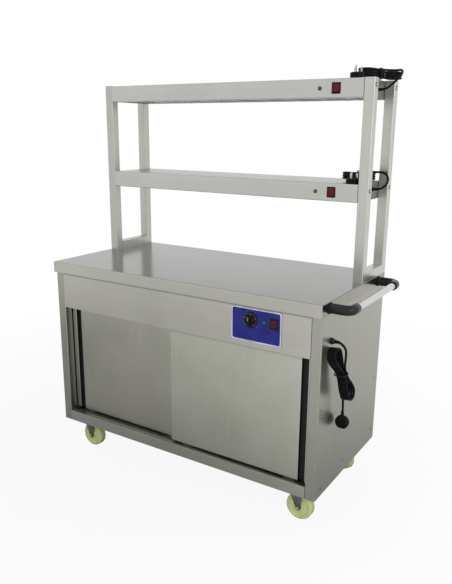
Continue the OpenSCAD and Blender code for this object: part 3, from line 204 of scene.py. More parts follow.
mainsStart = place(1.199, 0.086, 0.679)
upperStart = place(1.1626, 0.341, 1.523)
lowerStart = place(1.1626, 0.341, 1.17)
mainsRun = unit(0.12, 0.39, -0.9)
shelfBoot = {"back": 0.009, "length": 0.021, "wide": 0.0062, "narrow": 0.0047}

# hank is its middle, run, up, length and loops; plugAxes turn the plug's own X, Y and Z
leads = {
    "mains": {
        "exit": place(1.215, 0.086, 0.679),
        "boot": {"back": 0.012, "length": 0.026, "wide": 0.0078, "narrow": 0.0048},
        "in": pathFrom(
            mainsStart, (0.033, 0.0005, -0.0025), (0.0433, 0.0015, -0.0097), (0.0505, 0.0027, -0.0204),
            (0.053, 0.0032, -0.033), (0.0525, 0.0032, -0.058), (0.0508, 0.005, -0.078)),
        "hank": (mainsStart + Vector((0.036, 0.013, -0.114)), mainsRun,
                 (alongX - mainsRun.x * mainsRun).normalized(), 0.16, 4),
        "out": pathFrom(
            mainsStart, (0.0222, 0.0335, -0.15), (0.026, 0.048, -0.181), (0.029, 0.058, -0.212),
            (0.03, 0.0615, -0.24)),
        "plug": mainsStart + Vector((0.03, 0.062, -0.267)),
        "plugAxes": (-alongX, alongZ, alongY),
        "lay": "hanging",
    },
    "upper": {
        "exit": place(1.1726, 0.466, 1.49),
        "boot": shelfBoot,
        "in": pathFrom(
            upperStart, (0.0355, 0.125, -0.0292), (0.0499, 0.125, -0.0195), (0.0634, 0.1286, -0.0067),
            (0.0733, 0.1385, 0.0073), (0.0769, 0.152, 0.0201), (0.0733, 0.1655, 0.0295),
            (0.0634, 0.1754, 0.0331), (0.0495, 0.1792, 0.0331), (0.036, 0.1755, 0.0331),
            (0.0266, 0.1663, 0.0331)),
        "hank": (upperStart + Vector((0.004, 0.139, riseOf(3))), unit(-0.55, -0.84, 0), alongZ, 0.12, 3),
        "out": pathFrom(
            upperStart, (-0.008, 0.114, 0.007), (-0.0175, 0.103, 0.007), (-0.0265, 0.0926, 0.007),
            (-0.0318, 0.0845, 0.0071), (-0.0343, 0.0775, 0.0072)),
        "plug": upperStart + Vector((-0.035, 0.065, lead["plugRise"])),
        "plugAxes": (alongX, alongY, alongZ),
        "lay": "coiled",
    },
    "lower": {
        "exit": place(1.1726, 0.49, 1.144),
        "boot": shelfBoot,
        "in": pathFrom(
            lowerStart, (0.0321, 0.1513, -0.022), (0.0446, 0.1576, -0.0112), (0.0492, 0.1662, 0.0036),
            (0.0446, 0.1748, 0.0183), (0.0321, 0.1811, 0.0291), (0.015, 0.1834, 0.0331),
            (0.0016, 0.1834, 0.0331), (-0.0117, 0.1834, 0.0331), (-0.0257, 0.1802, 0.0331),
            (-0.0369, 0.1711, 0.0331)),
        "hank": (lowerStart + Vector((-0.051, 0.141, riseOf(3))), unit(-0.2, -0.98, 0), alongZ, 0.12, 3),
        "out": pathFrom(
            lowerStart, (-0.0508, 0.1146, 0.007), (-0.0491, 0.1066, 0.007), (-0.0453, 0.0995, 0.007),
            (-0.04, 0.0939, 0.007), (-0.0347, 0.0883, 0.007), (-0.0309, 0.0811, 0.0071)),
        "plug": lowerStart + Vector((-0.029, 0.065, lead["plugRise"])),
        "plugAxes": (alongX, alongY, alongZ),
        "lay": "coiled",
    },
}


# Finishes: noise on Object coordinates varies the colour and roughness of each
def finishNodes(name):
    finish = bpy.data.materials.new(name)
    finish.use_nodes = True
    return finish, finish.node_tree, finish.node_tree.nodes["Principled BSDF"]


def grainNoise(tree, scale, detail, stretch=(1, 1, 1)):
    where = tree.nodes.new("ShaderNodeTexCoord")
    mapping = tree.nodes.new("ShaderNodeMapping")
    mapping.inputs["Scale"].default_value = stretch
    tree.links.new(where.outputs["Object"], mapping.inputs["Vector"])
    noise = tree.nodes.new("ShaderNodeTexNoise")
    noise.inputs["Scale"].default_value = scale
    noise.inputs["Detail"].default_value = detail
    tree.links.new(mapping.outputs["Vector"], noise.inputs["Vector"])
    return noise.outputs["Fac"]


def ramp(tree, source, stops):
    shades = tree.nodes.new("ShaderNodeValToRGB")
    band = shades.color_ramp
    while len(band.elements) < len(stops):
        band.elements.new(0.5)
    for element, (at, colour) in zip(band.elements, stops):
        element.position = at
        element.color = (*colour, 1)
    tree.links.new(source, shades.inputs["Fac"])
    return shades.outputs["Color"]


def spread(tree, source, low, high, fromLow=0.3, fromHigh=0.7):
    reach = tree.nodes.new("ShaderNodeMapRange")
    for key, value in (("From Min", fromLow), ("From Max", fromHigh), ("To Min", low), ("To Max", high)):
        reach.inputs[key].default_value = value
    tree.links.new(source, reach.inputs["Value"])
    return reach.outputs["Result"]


def mixColours(tree, amount, a, b, how="MIX"):
    mix = tree.nodes.new("ShaderNodeMix")
    mix.data_type = "RGBA"
    mix.blend_type = how
    for key, value in ((0, amount), (6, a), (7, b)):
        if isinstance(value, float):
            mix.inputs[key].default_value = value
        elif isinstance(value, tuple):
            mix.inputs[key].default_value = (*value, 1)
        else:
            tree.links.new(value, mix.inputs[key])
    return mix.outputs[2]


def darkened(tree, colour, by):
    return mixColours(tree, 1.0, colour, by, "MULTIPLY")


def dent(tree, shader, height, strength, distance):
    bump = tree.nodes.new("ShaderNodeBump")
    bump.inputs["Strength"].default_value = strength
    bump.inputs["Distance"].default_value = distance
    tree.links.new(height, bump.inputs["Height"])
    tree.links.new(bump.outputs["Normal"], shader.inputs["Normal"])


def tinted(colour, by):
    return tuple(min(1.0, c * by) for c in colour)


def combine(tree, how, a, b):
    maths = tree.nodes.new("ShaderNodeMath")
    maths.operation = how
    tree.links.new(a, maths.inputs[0])
    tree.links.new(b, maths.inputs[1])
    return maths.outputs["Value"]


def coordinates(tree, kind):
    where = tree.nodes.new("ShaderNodeTexCoord")
    parts = tree.nodes.new("ShaderNodeSeparateXYZ")
    tree.links.new(where.outputs[kind], parts.inputs["Vector"])
    return parts.outputs


def distanceFrom(tree, at):
    where = tree.nodes.new("ShaderNodeTexCoord")
    away = tree.nodes.new("ShaderNodeVectorMath")
    away.operation = "DISTANCE"
    tree.links.new(where.outputs["Object"], away.inputs[0])
    away.inputs[1].default_value = at
    return away.outputs["Value"]


# Base colour from dark to light, as shares of colour, and roughness from low to high, both by one noise
def vary(tree, shader, noise, colour, dark, light, rough, stops=(0.3, 0.7)):
    byNoise = ramp(tree, noise, [(stops[0], tinted(colour, dark)), (stops[1], tinted(colour, light))])
    tree.links.new(byNoise, shader.inputs["Base Color"])
    tree.links.new(spread(tree, noise, *rough), shader.inputs["Roughness"])


# Satin stainless sheet: fine grain along one axis, broader bands, faint smudges of handling.
# top is the colour of a painted shade on faces that look up, and faces that look toward +X get a painted
# shade too.
# under is a height, the depth of the painted shade below it and its darkest tone.
def brushedSteel(name, colour, grain, roughness, bands, smudge, top=None, under=None):
    finish, tree, shader = finishNodes(name)
    fine = {"x": (5, 1500, 1500), "z": (1500, 1500, 5)}[grain]
    broad = {"x": (0.6, 34, 34), "z": (34, 34, 0.6)}[grain]
    hair = grainNoise(tree, 1.0, 3.0, fine)
    band = grainNoise(tree, 1.0, 5.0, broad)
    cloud = grainNoise(tree, 5.5, 4.0)
    byBand = ramp(tree, band, [(0.3, tinted(colour, 1 - bands)), (0.7, tinted(colour, 1 + bands))])
    byHair = ramp(tree, hair, [(0.25, (0.92, 0.92, 0.92)), (0.75, (1, 1, 1))])
    grained = mixColours(tree, 0.7, byBand, byHair, "MULTIPLY")
    byCloud = ramp(tree, cloud, [(0.35, (0.94, 0.94, 0.93)), (0.65, (1, 1, 1))])
    shade = darkened(tree, grained, byCloud)
    if top:
        # Painted shade: faces that look up darken towards top, and faces that look toward +X darken to a
        # fixed tone
        facing = coordinates(tree, "Normal")
        paintedTopShade = ramp(tree, facing["Z"], [(0.3, (1, 1, 1)), (0.95, top)])
        shade = darkened(tree, shade, paintedTopShade)
        paintedSideShade = ramp(tree, facing["X"], [(0.5, (1, 1, 1)), (0.95, (0.6, 0.58, 0.55))])
        shade = darkened(tree, shade, paintedSideShade)
    if under:
        edge, deep, low = under
        dim = spread(tree, coordinates(tree, "Object")["Z"], 1.0, low, edge - deep, edge)
        shade = darkened(tree, shade, dim)
    tree.links.new(shade, shader.inputs["Base Color"])
    shader.inputs["Metallic"].default_value = 1.0
    rough = spread(tree, hair, roughness - 0.05, roughness + 0.07)
    rough = combine(tree, "ADD", rough, spread(tree, cloud, 0.0, smudge))
    tree.links.new(rough, shader.inputs["Roughness"])
    dent(tree, shader, hair, 0.15, 0.00004)
    return finish


# Moulded plastic with a fine spark texture
def moulding(name, colour, roughness, texture, grainScale, shine=0.5):
    finish, tree, shader = finishNodes(name)
    speck = grainNoise(tree, grainScale, 2.0)
    cloud = grainNoise(tree, 22, 3.0)
    vary(tree, shader, cloud, colour, 0.8, 1.2, (roughness - 0.06, roughness + 0.06))
    shader.inputs["Specular IOR Level"].default_value = shine
    dent(tree, shader, speck, texture, 0.00006)
    return finish


# Zinc plate, wire and sheath, with patches of a slightly other tone
def platedMetal(name, colour, roughness, patchScale, patch):
    finish, tree, shader = finishNodes(name)
    patches = grainNoise(tree, patchScale, 3.0)
    vary(tree, shader, patches, colour, 1 - patch, 1 + patch, (roughness - 0.07, roughness + 0.1))
    shader.inputs["Metallic"].default_value = 1.0
    dent(tree, shader, grainNoise(tree, 700, 2.0), 0.12, 0.00005)
    return finish


def nylon(name, colour):
    finish, tree, shader = finishNodes(name)
    cloud = grainNoise(tree, 30, 4.0)
    scuff = grainNoise(tree, 130, 6.0)
    base = ramp(tree, cloud, [(0.3, tinted(colour, 0.9)), (0.7, tinted(colour, 1.06))])
    worn = ramp(tree, scuff, [(0.56, (1, 1, 1)), (0.72, (0.82, 0.8, 0.72))])
    tree.links.new(darkened(tree, base, worn), shader.inputs["Base Color"])
    tree.links.new(spread(tree, scuff, 0.34, 0.54), shader.inputs["Roughness"])
    shader.inputs["Subsurface Weight"].default_value = 0.12
    shader.inputs["Subsurface Radius"].default_value = (0.004, 0.004, 0.002)
    dent(tree, shader, scuff, 0.12, 0.00008)
    return finish


def clearLens(name, colour, roughness):
    finish, tree, shader = finishNodes(name)
    rays = grainNoise(tree, 420, 1.0)
    vary(tree, shader, rays, colour, 0.65, 1.35, (roughness - 0.04, roughness + 0.06), (0.35, 0.65))
    shader.inputs["Specular IOR Level"].default_value = 0.2
    dent(tree, shader, rays, 0.15, 0.00008)
    return finish


def quartzGlass(name):
    finish, tree, shader = finishNodes(name)
    haze = grainNoise(tree, 1.0, 3.0, (3, 60, 60))
    tones = ramp(tree, haze, [(0.3, (0.78, 0.78, 0.76)), (0.7, (0.92, 0.92, 0.9))])
    tree.links.new(tones, shader.inputs["Base Color"])
    tree.links.new(spread(tree, haze, 0.06, 0.16), shader.inputs["Roughness"])
    shader.inputs["Transmission Weight"].default_value = 0.7
    shader.inputs["IOR"].default_value = 1.46
    return finish


# Tube polished round and round, so its fine rings stand across Y
def polishedTube(name, colour):
    finish, tree, shader = finishNodes(name)
    rings = grainNoise(tree, 1.0, 3.0, (1200, 4, 1200))
    vary(tree, shader, rings, colour, 0.92, 1.04, (0.14, 0.24))
    shader.inputs["Metallic"].default_value = 1.0
    dent(tree, shader, rings, 0.15, 0.00003)
    return finish


# Painted shade: a darker band below the worktop's edge on the fascia, and below the fascia on the doors
underWorktop = (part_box("worktop")[0][2], 0.011, 0.05)
underFascia = (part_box("fascia")[0][2], 0.016, 0.55)
finishLooks = {
    # The last colour of worktopSteel and shelfSteel is the painted shade on their faces that look up
    "worktopSteel": (brushedSteel, (0.49, 0.49, 0.445), "x", 0.17, 0.03, 0.05, (0.52, 0.53, 0.56)),
    "panelSteel": (brushedSteel, (0.42, 0.42, 0.376), "z", 0.32, 0.03, 0.05),
    "fasciaSteel": (brushedSteel, (0.54, 0.54, 0.486), "x", 0.3, 0.025, 0.05, None, underWorktop),
    # The rear door's steel is a darker copy of the front door's, a painted shade
    "doorSteel": (brushedSteel, (0.49, 0.49, 0.43), "z", 0.3, 0.01, 0.04, None, underFascia),
    "frontDoorSteel": (brushedSteel, (0.57, 0.575, 0.503), "z", 0.3, 0.01, 0.04, None, underFascia),
    "sideSteel": (brushedSteel, (0.38, 0.38, 0.335), "z", 0.3, 0.03, 0.06),
    "gantrySteel": (brushedSteel, (0.49, 0.495, 0.46), "z", 0.3, 0.04, 0.05),
    # The right frame's steel is a lighter copy of the left frame's, a painted light
    "rightGantrySteel": (brushedSteel, (0.56, 0.565, 0.525), "z", 0.3, 0.04, 0.05),
    "shelfSteel": (brushedSteel, (0.54, 0.545, 0.515), "x", 0.3, 0.025, 0.04, (0.76, 0.77, 0.8)),
    "frameSteel": (brushedSteel, (0.28, 0.28, 0.26), "x", 0.38, 0.06, 0.06),
    "linerSteel": (brushedSteel, (0.45, 0.45, 0.43), "z", 0.42, 0.05, 0.06),
    "reflectorMetal": (brushedSteel, (0.4, 0.395, 0.405), "x", 0.22, 0.03, 0.03),
    "elementSheath": (platedMetal, (0.09, 0.08, 0.075), 0.5, 40, 0.3),
    "barSteel": (polishedTube, (0.62, 0.62, 0.6)),
    "elbowBlack": (moulding, (0.007, 0.007, 0.008), 0.27, 0.25, 700, 0.3),
    "plateBlue": (moulding, (0.017, 0.021, 0.175), 0.3, 0.1, 500, 0.16),
    "knobBlack": (moulding, (0.006, 0.006, 0.007), 0.32, 0.2, 900, 0.16),
    "switchBlack": (moulding, (0.008, 0.008, 0.01), 0.36, 0.3, 900, 0.18),
    "rockerRed": (clearLens, (0.085, 0.006, 0.006), 0.26),
    # The main rocker's red is a darker copy of the other rockers' red, a painted shade
    "mainRockerRed": (clearLens, (0.045, 0.003, 0.004), 0.26),
    "lampGreen": (clearLens, (0.018, 0.095, 0.07), 0.14),
    "cordBlack": (moulding, (0.004, 0.004, 0.005), 0.4, 0.2, 1300, 0.08),
    "plugBlack": (moulding, (0.004, 0.004, 0.005), 0.4, 0.3, 1000, 0.08),
    "tieBlack": (moulding, (0.014, 0.014, 0.014), 0.5, 0.2, 900, 0.2),
    "pinMetal": (platedMetal, (0.5, 0.48, 0.42), 0.26, 200, 0.06),
    "zincPlate": (platedMetal, (0.33, 0.37, 0.42), 0.34, 90, 0.16),
    "forkZinc": (platedMetal, (0.2, 0.225, 0.215), 0.36, 90, 0.2),
    "brightZinc": (platedMetal, (0.55, 0.56, 0.57), 0.26, 160, 0.08),
    "wheelNylon": (nylon, (0.54, 0.575, 0.265)),
    "rollerNylon": (nylon, (0.72, 0.71, 0.64)),
    "ceramic": (moulding, (0.74, 0.72, 0.66), 0.5, 0.3, 400),
    "quartz": (quartzGlass,),
    "coilWire": (platedMetal, (0.32, 0.28, 0.24), 0.35, 300, 0.1),
    "markWhite": (moulding, (0.4, 0.4, 0.4), 0.5, 0.15, 900),
    "plateRim": (moulding, (0.5, 0.5, 0.6), 0.35, 0.1, 900),
    "rockerMark": (moulding, (0.16, 0.07, 0.065), 0.4, 0.1, 900, 0.2),
    "gripBlack": (moulding, (0.009, 0.009, 0.01), 0.5, 0.4, 700, 0.2),
    "darkWasher": (platedMetal, (0.1, 0.1, 0.1), 0.4, 150, 0.15),
    "capGrey": (moulding, (0.1, 0.1, 0.1), 0.45, 0.3, 700),
    "thermostatBody": (moulding, (0.06, 0.06, 0.06), 0.5, 0.3, 600),
}
finishes = {name: make(name, *look) for name, (make, *look) in finishLooks.items()}

finishOn = {
    "worktopSteel": ["worktop"],
    "panelSteel": ["corner_posts"],
    "fasciaSteel": ["fascia", "bottom_rail"],
    "doorSteel": ["left_door"],
    "frontDoorSteel": ["right_door"],
    "sideSteel": ["left_side_panel", "right_side_panel", "back_panel"],
    "gantrySteel": ["gantry_left_frame"],
    "rightGantrySteel": ["gantry_right_frame"],
    "shelfSteel": ["upper_shelf", "lower_shelf"],
    "frameSteel": ["worktop_channels", "base_deck", "mid_shelf", "base_frame", "top_track", "bottom_track"],
    "linerSteel": ["left_door_liner", "right_door_liner"],
    "reflectorMetal": ["shelf_reflectors"],
    "elementSheath": ["heating_element"],
    "barSteel": ["handle_bar"],
    "elbowBlack": ["handle_elbows", "cable_glands"],
    "plateBlue": ["control_plate"],
    "switchBlack": ["switch_housings"],
    "rockerRed": ["upper_rocker", "lower_rocker"],
    "mainRockerRed": ["main_rocker"],
    "lampGreen": ["pilot_lamps"],
    "zincPlate": ["castor_plates", "left_door_hangers", "right_door_hangers"],
    "forkZinc": [corner + "_fork" for corner in corners],
    "brightZinc": ["fasteners"],
    "wheelNylon": [corner + "_wheel" for corner in corners],
    "rollerNylon": [door + "_door_roller_" + k for door in ("left", "right") for k in "12"],
    "thermostatBody": ["thermostat"],
}
for finishName, nodeNames in finishOn.items():
    for nodeName in nodeNames:
        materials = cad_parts[nodeName].data.materials
        materials.clear()
        materials.append(finishes[finishName])
print("finishes are on", sum(len(nodeNames) for nodeNames in finishOn.values()), "nodes")


# A finished piece from a shape, smooth where its faces meet at less than so many degrees
def addPiece(name, shape, finish, smooth=35, replaced=(), body="cupboard"):
    data = bpy.data.meshes.new(name)
    shape.to_mesh(data)
    shape.free()
    data.materials.append(finishes[finish])
    piece = linked(name, data)
    data.shade_smooth()
    data.set_sharp_from_angle(angle=math.radians(smooth))
    settle(piece, body, replaced)
    return piece


def settle(piece, body, replaced=()):
    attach(piece, body)
    if replaced:
        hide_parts(*replaced)


def tidy(shape):
    bmesh.ops.remove_doubles(shape, verts=shape.verts, dist=1e-6)
    bmesh.ops.recalc_face_normals(shape, faces=shape.faces)


def move(shape, matrix):
    bmesh.ops.transform(shape, matrix=matrix, verts=shape.verts)


def roundEdges(shape, edges, roundBy, segments):
    bmesh.ops.bevel(shape, geom=edges, offset=roundBy, offset_type="OFFSET", segments=segments, profile=0.5,
                    affect="EDGES", clamp_overlap=True, material=-1)


# Flat outline in X and Y, raised to a slab along Z, with its edges rounded
def slabShape(outline, low, high, roundBy=0.0, segments=3):
    shape = bmesh.new()
    base = shape.faces.new([shape.verts.new((x, y, low)) for x, y in outline])
    raised = bmesh.ops.extrude_face_region(shape, geom=[base])
    top = [v for v in raised["geom"] if isinstance(v, bmesh.types.BMVert)]
    bmesh.ops.translate(shape, verts=top, vec=(0, 0, high - low))
    if roundBy:
        roundEdges(shape, shape.edges[:], roundBy, segments)
    return shape


# Slab from so far below a face to so far above it
def onFace(outline, face, below, above, *rounding):
    return slabShape(outline, face - below, face + above, *rounding)


def boxOutline(wide, deep, x=0.0, y=0.0):
    return [(x - wide / 2, y - deep / 2), (x + wide / 2, y - deep / 2),
            (x + wide / 2, y + deep / 2), (x - wide / 2, y + deep / 2)]


# Half section as (radius, height) points, turned about Z
def turnedShape(section, steps, matrix=Matrix()):
    shape = bmesh.new()
    points = [shape.verts.new((r, 0, z)) for r, z in section]
    edges = [shape.edges.new(pair) for pair in zip(points, points[1:])]
    bmesh.ops.spin(shape, geom=points + edges, cent=(0, 0, 0), axis=(0, 0, 1), angle=math.tau,
                   steps=steps, use_merge=True)
    tidy(shape)
    move(shape, matrix)
    return shape


def axes(x, y, z, at):
    return Matrix.Translation(at) @ Matrix((x, y, z)).transposed().to_4x4()


def joinShapes(parts):
    whole = bmesh.new()
    for part in parts:
        data = bpy.data.meshes.new("part")
        part.to_mesh(data)
        part.free()
        whole.from_mesh(data)
        bpy.data.meshes.remove(data)
    return whole


def welded(parts):
    whole = joinShapes(parts)
    tidy(whole)
    return whole


# Text as a mesh, flat in X and Y with its middle at the origin
def wordShape(words, height, thick):
    data = bpy.data.curves.new("word", "FONT")
    data.body = words
    data.size = height
    data.align_x = data.align_y = "CENTER"
    data.extrude = thick / 2
    data.resolution_u = 3
    made = linked("word", data)
    bpy.context.view_layer.update()
    mesh = bpy.data.meshes.new_from_object(made)
    shape = bmesh.new()
    shape.from_mesh(mesh)
    bpy.data.objects.remove(made)
    bpy.data.meshes.remove(mesh)
    bpy.data.curves.remove(data)
    return shape


def arc(x, y, radius, start, end, steps):
    angles = [math.radians(start + (end - start) * k / steps) for k in range(steps + 1)]
    return [(x + radius * math.cos(a), y + radius * math.sin(a)) for a in angles]


# Half section of a rib and the groove after it, as heights above the rib's foot and the groove's depth
def ribSection(r, z, top, slope, floor, groove):
    return [(r, z), (r, z + top), (r - groove, z + slope), (r - groove, z + floor)]


# Plugs: the cord enters from +Y, the pins point along +Z. backShare is the part of the thickness behind the
# cord's axis, pinFace the pin side's share of the outline, and a pin is its width, depth and length. pinSide,
# fuseCover and gripRib are a slab's reach below and above its face, its rounding and the rounding's segments.
plug = {
    "wide": 0.048, "long": 0.044, "thick": 0.018, "backShare": 0.39, "endWide": 0.02, "round": 0.0026,
    "pinFace": 0.88, "step": 0.0012, "pinSide": (0.002, 0, 0.0005, 2), "fuse": (0.016, 0.007),
    "fuseFromPins": -0.0105, "fuseCover": (0.001, 0.0004, 0.0003, 2), "gripRibs": 4, "gripStart": -0.032,
    "gripPitch": 0.004, "gripWide": 0.026, "gripNarrowing": 0.002, "gripThick": 0.0012,
    "gripRib": (0.0002, 0.001, 0.0002, 1), "relief": 0.02, "reliefFoot": 0.0064, "reliefSunk": 0.002,
    "reliefStart": 0.0015, "reliefRibs": 6, "reliefPitch": 0.0029, "reliefRadius": 0.0063,
    "reliefNarrowing": 0.00029, "reliefRib": (0.0014, 0.0017, 0.0026, 0.0007), "reliefTip": 0.0042,
    "reliefEdge": (0.0005, 0.0006), "pinPitch": 0.0222, "flatPins": -0.034,
    "earthPin": (0.004, 0.008, 0.0225), "flatPin": (0.0063, 0.004, 0.0175), "pinSunk": 0.0005,
    "pinEdge": 0.0006,
}


def plugBody():
    radius = math.hypot(plug["long"], plug["endWide"]) / 2
    reach = math.degrees(math.atan2(plug["long"], plug["endWide"]))
    middle = -plug["relief"] - plug["long"] / 2
    half = plug["wide"] / 2
    outline = arc(0, middle, radius, -reach, reach, 16) + arc(0, middle, radius, 180 - reach, 180 + reach, 16)
    outline = [(max(-half, min(half, x)), y) for x, y in outline]
    inner = [(x * plug["pinFace"], (y - middle) * plug["pinFace"] + middle) for x, y in outline]
    low = -plug["backShare"] * plug["thick"]
    high = low + plug["thick"]
    fuse = boxOutline(*plug["fuse"], 0, plug["flatPins"] + plug["fuseFromPins"])
    parts = [slabShape(outline, low, high - plug["step"], plug["round"], 4),
             onFace(inner, high, *plug["pinSide"]), onFace(fuse, high, *plug["fuseCover"])]
    for k in range(plug["gripRibs"]):
        rib = boxOutline(plug["gripWide"] - plug["gripNarrowing"] * k, plug["gripThick"], 0,
                         plug["gripStart"] - plug["gripPitch"] * k)
        parts.append(onFace(rib, low, *plug["gripRib"]))
    return welded(parts + [plugRelief()])


def plugRelief():
    foot, start, end, tip = plug["reliefFoot"], -plug["reliefSunk"], plug["relief"], plug["reliefTip"]
    section = [(0, start), (foot, start)]
    for k in range(plug["reliefRibs"]):
        r = plug["reliefRadius"] - plug["reliefNarrowing"] * k
        section += ribSection(r, plug["reliefStart"] + plug["reliefPitch"] * k, *plug["reliefRib"])
    inward, back = plug["reliefEdge"]
    section += [(tip + inward, end - back), (tip, end), (0, end)]
    return turnedShape(section, 32, axes(alongX, -alongZ, alongY, -end * alongY))


def plugPins():
    face = (1 - plug["backShare"]) * plug["thick"]
    pins = []
    for kind, x, y in (("earthPin", 0, -plug["pinPitch"]), ("flatPin", -plug["pinPitch"] / 2, 0),
                       ("flatPin", plug["pinPitch"] / 2, 0)):
        wide, deep, long = plug[kind]
        outline = boxOutline(wide, deep, x, plug["flatPins"] + y)
        pins.append(onFace(outline, face, plug["pinSunk"], long, plug["pinEdge"], 2))
    return welded(pins)


# Ribbed boot along X where a lead leaves its housing: foot, start, ribbed and tip are shares of its length,
# and rib has shares of the ribs' pitch
bootForm = {
    "ribs": 5, "foot": 0.08, "start": 0.1, "ribbed": 0.86, "rib": (0.55, 0.65, 0.9), "groove": 0.0006,
    "tip": 0.97, "edge": 0.0004,
}


def bootShape(at, length, wide, narrow):
    section = [(0, 0), (wide, 0), (wide, length * bootForm["foot"])]
    ribs = bootForm["ribs"]
    pitch = length * bootForm["ribbed"] / ribs
    heights = [pitch * share for share in bootForm["rib"]]
    for k in range(ribs):
        r = wide + (narrow - wide) * (k + 0.5) / ribs
        section += ribSection(r, length * bootForm["start"] + pitch * k, *heights, bootForm["groove"])
    section += [(narrow, length * bootForm["tip"]), (narrow - bootForm["edge"], length), (0, length)]
    return turnedShape(section, 32, axes(alongY, alongZ, alongX, at))


def dressLead(name, route):
    at, run, up, length, loops = route["hank"]
    wound = hankPath(at, run, up, length, loops)
    tip, start, end = lead["tip"], route["exit"], route["plug"]
    path = smoothPath([start, start + tip * alongX] + route["in"] + [wound[0] - tip * run] + wound
                      + [wound[-1] + tip * run] + route["out"] + [end + tip * route["plugAxes"][1], end],
                      lead["smoothSteps"])
    plugNode, hankNode = name + "_plug", name + "_hank"
    cord = curvePiece(name + "Cord", path, lead["radius"], 4, "cordBlack",
                      (name + "_lead", hankNode))
    tie = curvePiece(name + "Tie", tiePath(at, run, up, loops), lead["tieRadius"], 2, "tieBlack",
                     (hankNode,))
    body, pins = plugBody(), plugPins()
    for part in (body, pins):
        move(part, axes(*route["plugAxes"], end))
    plugPiece = addPiece(name + "Plug", body, "plugBlack", 40, (plugNode,))
    pinPiece = addPiece(name + "PlugPins", pins, "pinMetal", 40, (plugNode,))
    sizes = route["boot"]
    boot = bootShape(start - sizes["back"] * alongX, sizes["length"], sizes["wide"], sizes["narrow"])
    bootPiece = addPiece(name + "Boot", boot, "cordBlack", 40)
    print(name, "lead is", round(pathLength(path), 3), "m long")


for name, route in leads.items():
    dressLead(name, route)


# Thermostat knob: skirt with ticks and numbers, waisted cap and a grip bar; its dial runs between two angles.
# markSink and markRise are how far printed marks lie below and above their face, and waist is a share of the
# cap's height.
knob = {
    "at": (0.935, 0.0102, 0.725), "skirt": 0.028, "skirtHigh": 0.005, "cap": 0.017, "capHigh": 0.0167,
    "edge": 0.0006, "waist": 0.38, "overlap": 0.001, "bar": 0.011, "barInset": 0.0012, "barRound": 0.0014,
    "shaft": 0.003, "shaftDeep": 0.0216, "shaftEdge": 0.0004, "numbers": ("30", "50", "70", "90", "110"),
    "numberHigh": 0.0036, "numberRadius": 0.0207, "numberRise": 0.00005, "ticks": 21, "tickRadius": 0.0262,
    "tickLong": 0.0034, "tickShort": 0.002, "stroke": 0.0006, "first": -135, "last": 135,
    "pointer": (0.0013, 0.0125, 0, 0.0078), "pointerSink": 0.0002, "pointerRise": 0.00005, "markSink": 0.0001,
    "markRise": 0.00012,
}


def facingFront(at):
    return axes(alongX, alongZ, -alongY, place(*at))


def onDial(k, count, radius, rise=0.0):
    angle = math.radians(knob["first"] + (knob["last"] - knob["first"]) * k / (count - 1))
    return Matrix.Rotation(-angle, 4, "Z") @ Matrix.Translation((0, radius, rise))


def makeKnob():
    r, h, c, high, edge = (knob[key] for key in ("skirt", "skirtHigh", "cap", "capHigh", "edge"))
    skirt = [(0, 0), (r - edge, 0), (r, edge), (r, h * 0.55), (r - 0.0005, h * 0.85), (r - 0.0016, h),
             (c + 2 * edge, h), (c + 0.0004, h + edge), (0, h + edge)]
    low, waist, lap = h - knob["overlap"], h + high * knob["waist"], knob["overlap"]
    base = [(0, low), (c, low), (c, h + high * 0.3), (c - edge, h + high * 0.36), (c - 0.0022, waist),
            (0, waist)]
    shaftR, deep, bevel = knob["shaft"], -knob["shaftDeep"], knob["shaftEdge"]
    shaft = [(0, deep), (shaftR - bevel, deep), (shaftR, deep + bevel), (shaftR, lap), (0, lap)]
    lean = math.degrees(math.asin(knob["bar"] / 2 / c))
    inset = c - knob["barInset"]
    outline = arc(0, 0, inset, -90 + lean, -90 - lean, 5) + arc(0, 0, inset, 90 + lean, 90 - lean, 5)
    bar = slabShape(outline[::-1], h, h + high, knob["barRound"], 3)
    whole = welded([turnedShape(skirt, 72), turnedShape(base, 64), bar, turnedShape(shaft, 32)])
    move(whole, facingFront(knob["at"]))
    addPiece("knob", whole, "knobBlack", 30, ("thermostat_knob",), "thermostat_knob")


def makeKnobMarks():
    face = knob["skirtHigh"]
    marks = []
    for k in range(knob["ticks"]):
        long = knob["tickLong"] if k % 5 == 0 else knob["tickShort"]
        tick = onFace(boxOutline(knob["stroke"], long), face, knob["markSink"], knob["markRise"])
        move(tick, onDial(k, knob["ticks"], knob["tickRadius"] - long / 2))
        marks.append(tick)
    for k, words in enumerate(knob["numbers"]):
        number = wordShape(words, knob["numberHigh"], knob["markRise"])
        move(number, onDial(k, len(knob["numbers"]), knob["numberRadius"], face + knob["numberRise"]))
        marks.append(number)
    marks.append(onFace(boxOutline(*knob["pointer"]), face + knob["capHigh"], knob["pointerSink"],
                        knob["pointerRise"]))
    whole = joinShapes(marks)
    move(whole, facingFront(knob["at"]))
    addPiece("knobMarks", whole, "markWhite", 30, body="thermostat_knob")


makeKnob()
makeKnobMarks()


# Pale rim round the blue control plate, and dark rings round the pilot lamps
plate = {
    "at": (0.955, 0.0105, 0.707), "wide": 0.196, "high": 0.121, "corner": 0.009, "inset": 0.0004,
    "rim": 0.0046, "innerCorner": 0.0075, "sink": 0.0002, "proud": 0.0003, "edge": 0.00012,
}
lampPlaces = [(0.987, 0.0105, 0.725), (1.0025, 0.341, 1.138), (1.0025, 0.341, 1.491)]
lampRing = [(0.0056, 0.0008), (0.0056, 0.0019), (0.006, 0.0022), (0.0066, 0.0021), (0.0071, 0.0015),
            (0.0073, 0.0002), (0.0068, 0.0002), (0.0056, 0.0008)]


def roundOutline(wide, high, corner, steps=6):
    x, y = wide / 2 - corner, high / 2 - corner
    return (arc(x, y, corner, 0, 90, steps) + arc(-x, y, corner, 90, 180, steps)
            + arc(-x, -y, corner, 180, 270, steps) + arc(x, -y, corner, 270, 360, steps))


